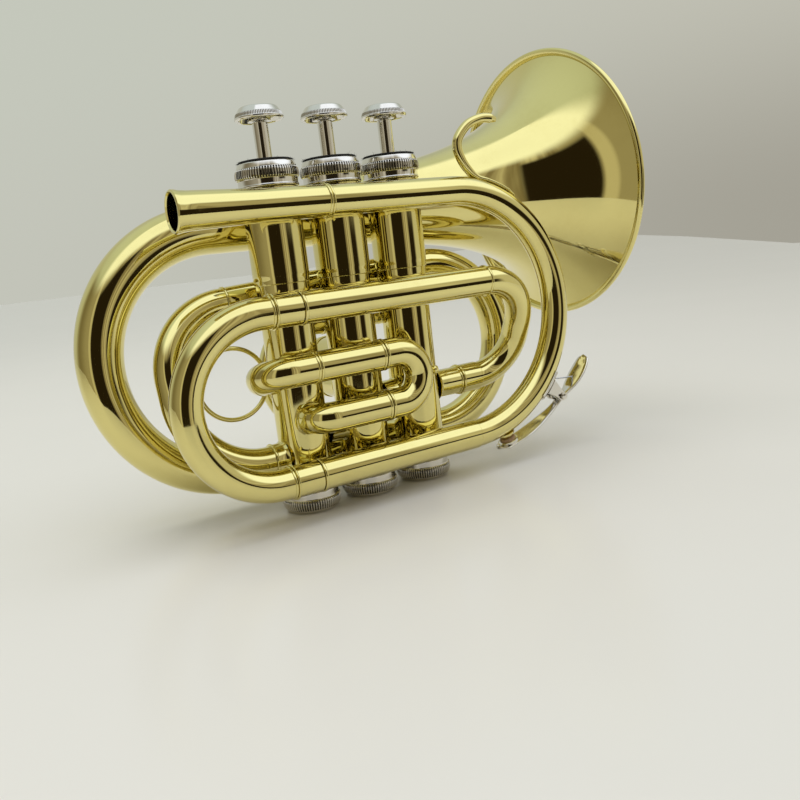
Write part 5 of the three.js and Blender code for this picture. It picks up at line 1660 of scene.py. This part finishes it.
@dataclass
class Studio:
    """Camera, table, the room by direction, and a soft light.

    The room is bright above and pale behind the table. On the side that the camera is on, curtains
    hang in folds, with a dark one in the middle. The table's edge is given as distances by compass
    angle. Pairs of numbers are where a part of the room begins and ends. A swing is in radians round
    the upright axis, zero at the middle of the dark curtain. A height is how far the direction points
    up, and across is how far it points to the picture's right.
    """

    PLACE = (-0.15543150, -0.29064127, 0.09637203)
    RIGHT = (0.84062042, -0.52936181, -0.11460092)
    LOOK = (0.50664662, 0.84333415, -0.17915557)
    FOCAL_SHARE = 813.8894 / 800
    NEAR = (-0.438, -0.899, 0.0)
    ASIDE = (0.899, -0.438, 0.0)
    EDGE_ANGLES = (-180, -165, -150, -60, -42, -15, 28, 37, 43.5, 130, 160, 180)
    EDGE_DISTANCES = (1.6, 0.5, 0.28, 0.28, 0.36, 1.5, 2.07, 4.2, 11.7, 11.7, 5.0, 1.6)
    FOLD_CONTRAST = (0.38, 0.64)
    NEAR_SIDES = (-0.1, 0.1)
    NEAR_PALER = (-1.5, -0.7)
    STRIP = (-0.66, -0.56), (-0.46, -0.40)
    FAR_SWING = (0.85, 1.35), (-2.0, -1.5)
    FAR_ACROSS = (-0.45, 0.45)
    FAR_HEIGHT = (0.0, 0.28)
    SIDE_ACROSS = (0.55, 0.85)
    LIT_SWING = (-1.1, -0.6), (1.9, 2.5)
    ZENITH_HEIGHT = (0.5, 0.95)
    CEILING_HEIGHT = (0.60, 0.76)
    CEILING_DROP = (0.5, 1.3)
    CURTAIN_SWING = (0.38, 0.44)
    CURTAIN_HEIGHT = (0.54, 0.62)
    SKIRTING_SWING = (0.78, 0.86), (1.15, 1.35)
    SKIRTING_HEIGHT = (0.02, 0.10)

    low_left: Colour = (0.545, 0.552, 0.485)
    low_right: Colour = (0.372, 0.357, 0.302)
    high_left: Colour = (0.555, 0.575, 0.500)
    high_right: Colour = (0.535, 0.530, 0.455)
    far_ceiling: Colour = (0.50, 0.54, 0.48)
    far_zenith: Colour = (0.68, 0.76, 0.76)
    ceiling: Colour = (1.40, 1.50, 1.68)
    ceiling_shade: Colour = (1.12, 1.18, 1.30)
    side_wall: Colour = (0.62, 0.60, 0.50)
    near_wall: Colour = (0.60, 0.56, 0.44)
    near_shade: Colour = (0.22, 0.19, 0.12)
    fold_light: Colour = (0.70, 0.66, 0.54)
    fold_shade: Colour = (0.22, 0.18, 0.11)
    curtain: Colour = (0.020, 0.014, 0.007)
    table: Colour = (0.83, 0.79, 0.72)

    def build(self) -> None:
        """Builds the whole set."""
        self._camera()
        self._table()
        self._world()
        self._light()

    def _camera(self) -> None:
        """The camera that the photograph was fitted with."""
        data = bpy.data.cameras.new("main_camera")
        data.sensor_fit = "HORIZONTAL"
        data.sensor_width = 36.0
        data.lens = data.sensor_width * self.FOCAL_SHARE
        data.clip_start, data.clip_end = 0.01, 60.0
        camera = placed("main_camera", data)
        right, look = Vector(self.RIGHT), Vector(self.LOOK)
        turn = Matrix((right, right.cross(look).normalized(), -look)).transposed()
        camera.matrix_world = Matrix.Translation(self.PLACE) @ turn.to_4x4()
        bpy.context.scene.camera = camera

    def _table(self) -> None:
        """A pale, faintly glossy table that runs far back and ends just behind the camera."""
        angles = np.arange(-180, 180, 0.25)
        reach = 1 / np.interp(angles, self.EDGE_ANGLES, 1 / np.array(self.EDGE_DISTANCES))
        rim = reach[:, None] * spokes(np.radians(angles), X_AXIS, Y_AXIS)
        mesh = bpy.data.meshes.new("table_top")
        faces = [[0, 1 + k, 1 + (k + 1) % len(rim)] for k in range(len(rim))]
        mesh.from_pydata([(0, 0, 0), *rim.tolist()], [], faces)
        table = placed("table_top", mesh)
        material = bpy.data.materials.new("table_gloss")
        material.use_nodes = True
        maker = NodeMaker(material.node_tree)
        cloud = maker.noise(maker.add("ShaderNodeTexCoord").outputs["Object"], 7.0)
        shade = tuple(0.97 * channel for channel in self.table)
        colour = maker.blend(cloud, shade, self.table)
        feeds = {"Base Color": colour, "Roughness": 0.22, "Specular IOR Level": 0.3}
        maker.feed(material.node_tree.nodes["Principled BSDF"], feeds)
        mesh.materials.append(material)

    def _world(self) -> None:
        """The room: walls graded across and up, folds on the near side, the ceiling, the dark curtain."""
        world = bpy.data.worlds.new("room_light")
        world.use_nodes = True
        maker = NodeMaker(world.node_tree)
        fade, fall, times, blend = maker.fade, maker.fall, maker.times, maker.blend
        where = maker.add("ShaderNodeTexCoord").outputs["Generated"]
        height, across = maker.along(where, (0.0, 0.0, 1.0)), maker.along(where, self.RIGHT)
        swing = maker.maths("ARCTAN2", maker.along(where, self.ASIDE), maker.along(where, self.NEAR))
        # The near walls: soft folds on one side, a paler strip on the other
        feeds = {0: times(swing, 2.2), 1: times(height, 0.05)}
        upright = maker.add("ShaderNodeCombineXYZ", feeds).outputs[0]
        folds = fade(maker.noise(upright, 2.4, 4.0, 0.62), *self.FOLD_CONTRAST)
        paler = maker.maths("MAXIMUM", maker.band(swing, *self.STRIP), fade(swing, *self.NEAR_PALER, 0.4))
        near = blend(fade(swing, *self.NEAR_SIDES), blend(paler, self.near_shade, self.near_wall),
                     blend(folds, self.fold_shade, self.fold_light))
        # The far walls, behind the table
        aside = fade(across, *self.FAR_ACROSS)
        far = blend(fade(height, *self.FAR_HEIGHT), blend(aside, self.low_left, self.low_right),
                    blend(aside, self.high_left, self.high_right))
        far = blend(fade(across, *self.SIDE_ACROSS), far, self.side_wall)
        left, right = self.FAR_SWING
        wall = blend(maker.maths("MAXIMUM", fade(swing, *left), fall(swing, *right)), near, far)
        # The ceiling, bright on the camera's side
        bright = blend(maker.noise(where, 1.1, 1.0), self.ceiling_shade, self.ceiling)
        dull = blend(fade(height, *self.ZENITH_HEIGHT), self.far_ceiling, self.far_zenith)
        ceiling = blend(maker.band(swing, *self.LIT_SWING), dull, bright)
        start = maker.maths("ADD", height, fade(swing, *self.CEILING_DROP, 0.25))
        room = blend(fade(start, *self.CEILING_HEIGHT), wall, ceiling)
        # The dark curtain, and the dark strip low on the wall beside it
        apart = maker.maths("ABSOLUTE", swing, 0.0)
        hung = times(fall(apart, *self.CURTAIN_SWING), fall(height, *self.CURTAIN_HEIGHT))
        skirting = times(maker.band(swing, *self.SKIRTING_SWING), fall(height, *self.SKIRTING_HEIGHT))
        colour = blend(maker.maths("MAXIMUM", hung, skirting), room, self.curtain)
        maker.feed(world.node_tree.nodes["Background"], {"Color": colour})
        bpy.context.scene.world = world

    @staticmethod
    def _light() -> None:
        """One broad soft panel overhead, which casts the shadow under the instrument."""
        data = bpy.data.lights.new("top_panel", "AREA")
        data.size = 0.9
        data.energy = 4.8
        data.color = (1.0, 0.99, 0.96)
        light = placed("top_panel", data)
        light.location = (-0.25, 0.25, 1.3)
        aim = Vector((0.0, 0.0, 0.05)) - light.location
        light.rotation_euler = aim.to_track_quat("-Z", "Y").to_euler()
        light.visible_glossy = False


def main() -> None:
    """Builds the instrument piece by piece, then the set."""
    bpy.context.scene.view_settings.view_transform = "Standard"
    shop = Workshop()
    for branch in (LeadpipeBranch(), TuningSlide(), BellBranch(), ValveBlock(), FirstSlide(), SecondSlide(),
                   ThirdSlide(), FingerFittings(), WaterKey()):
        LOG.info("building %s", type(branch).__name__)
        branch.build(shop)
    Studio().build()
    bpy.context.view_layer.update()


if __name__ == "__main__":
    main()
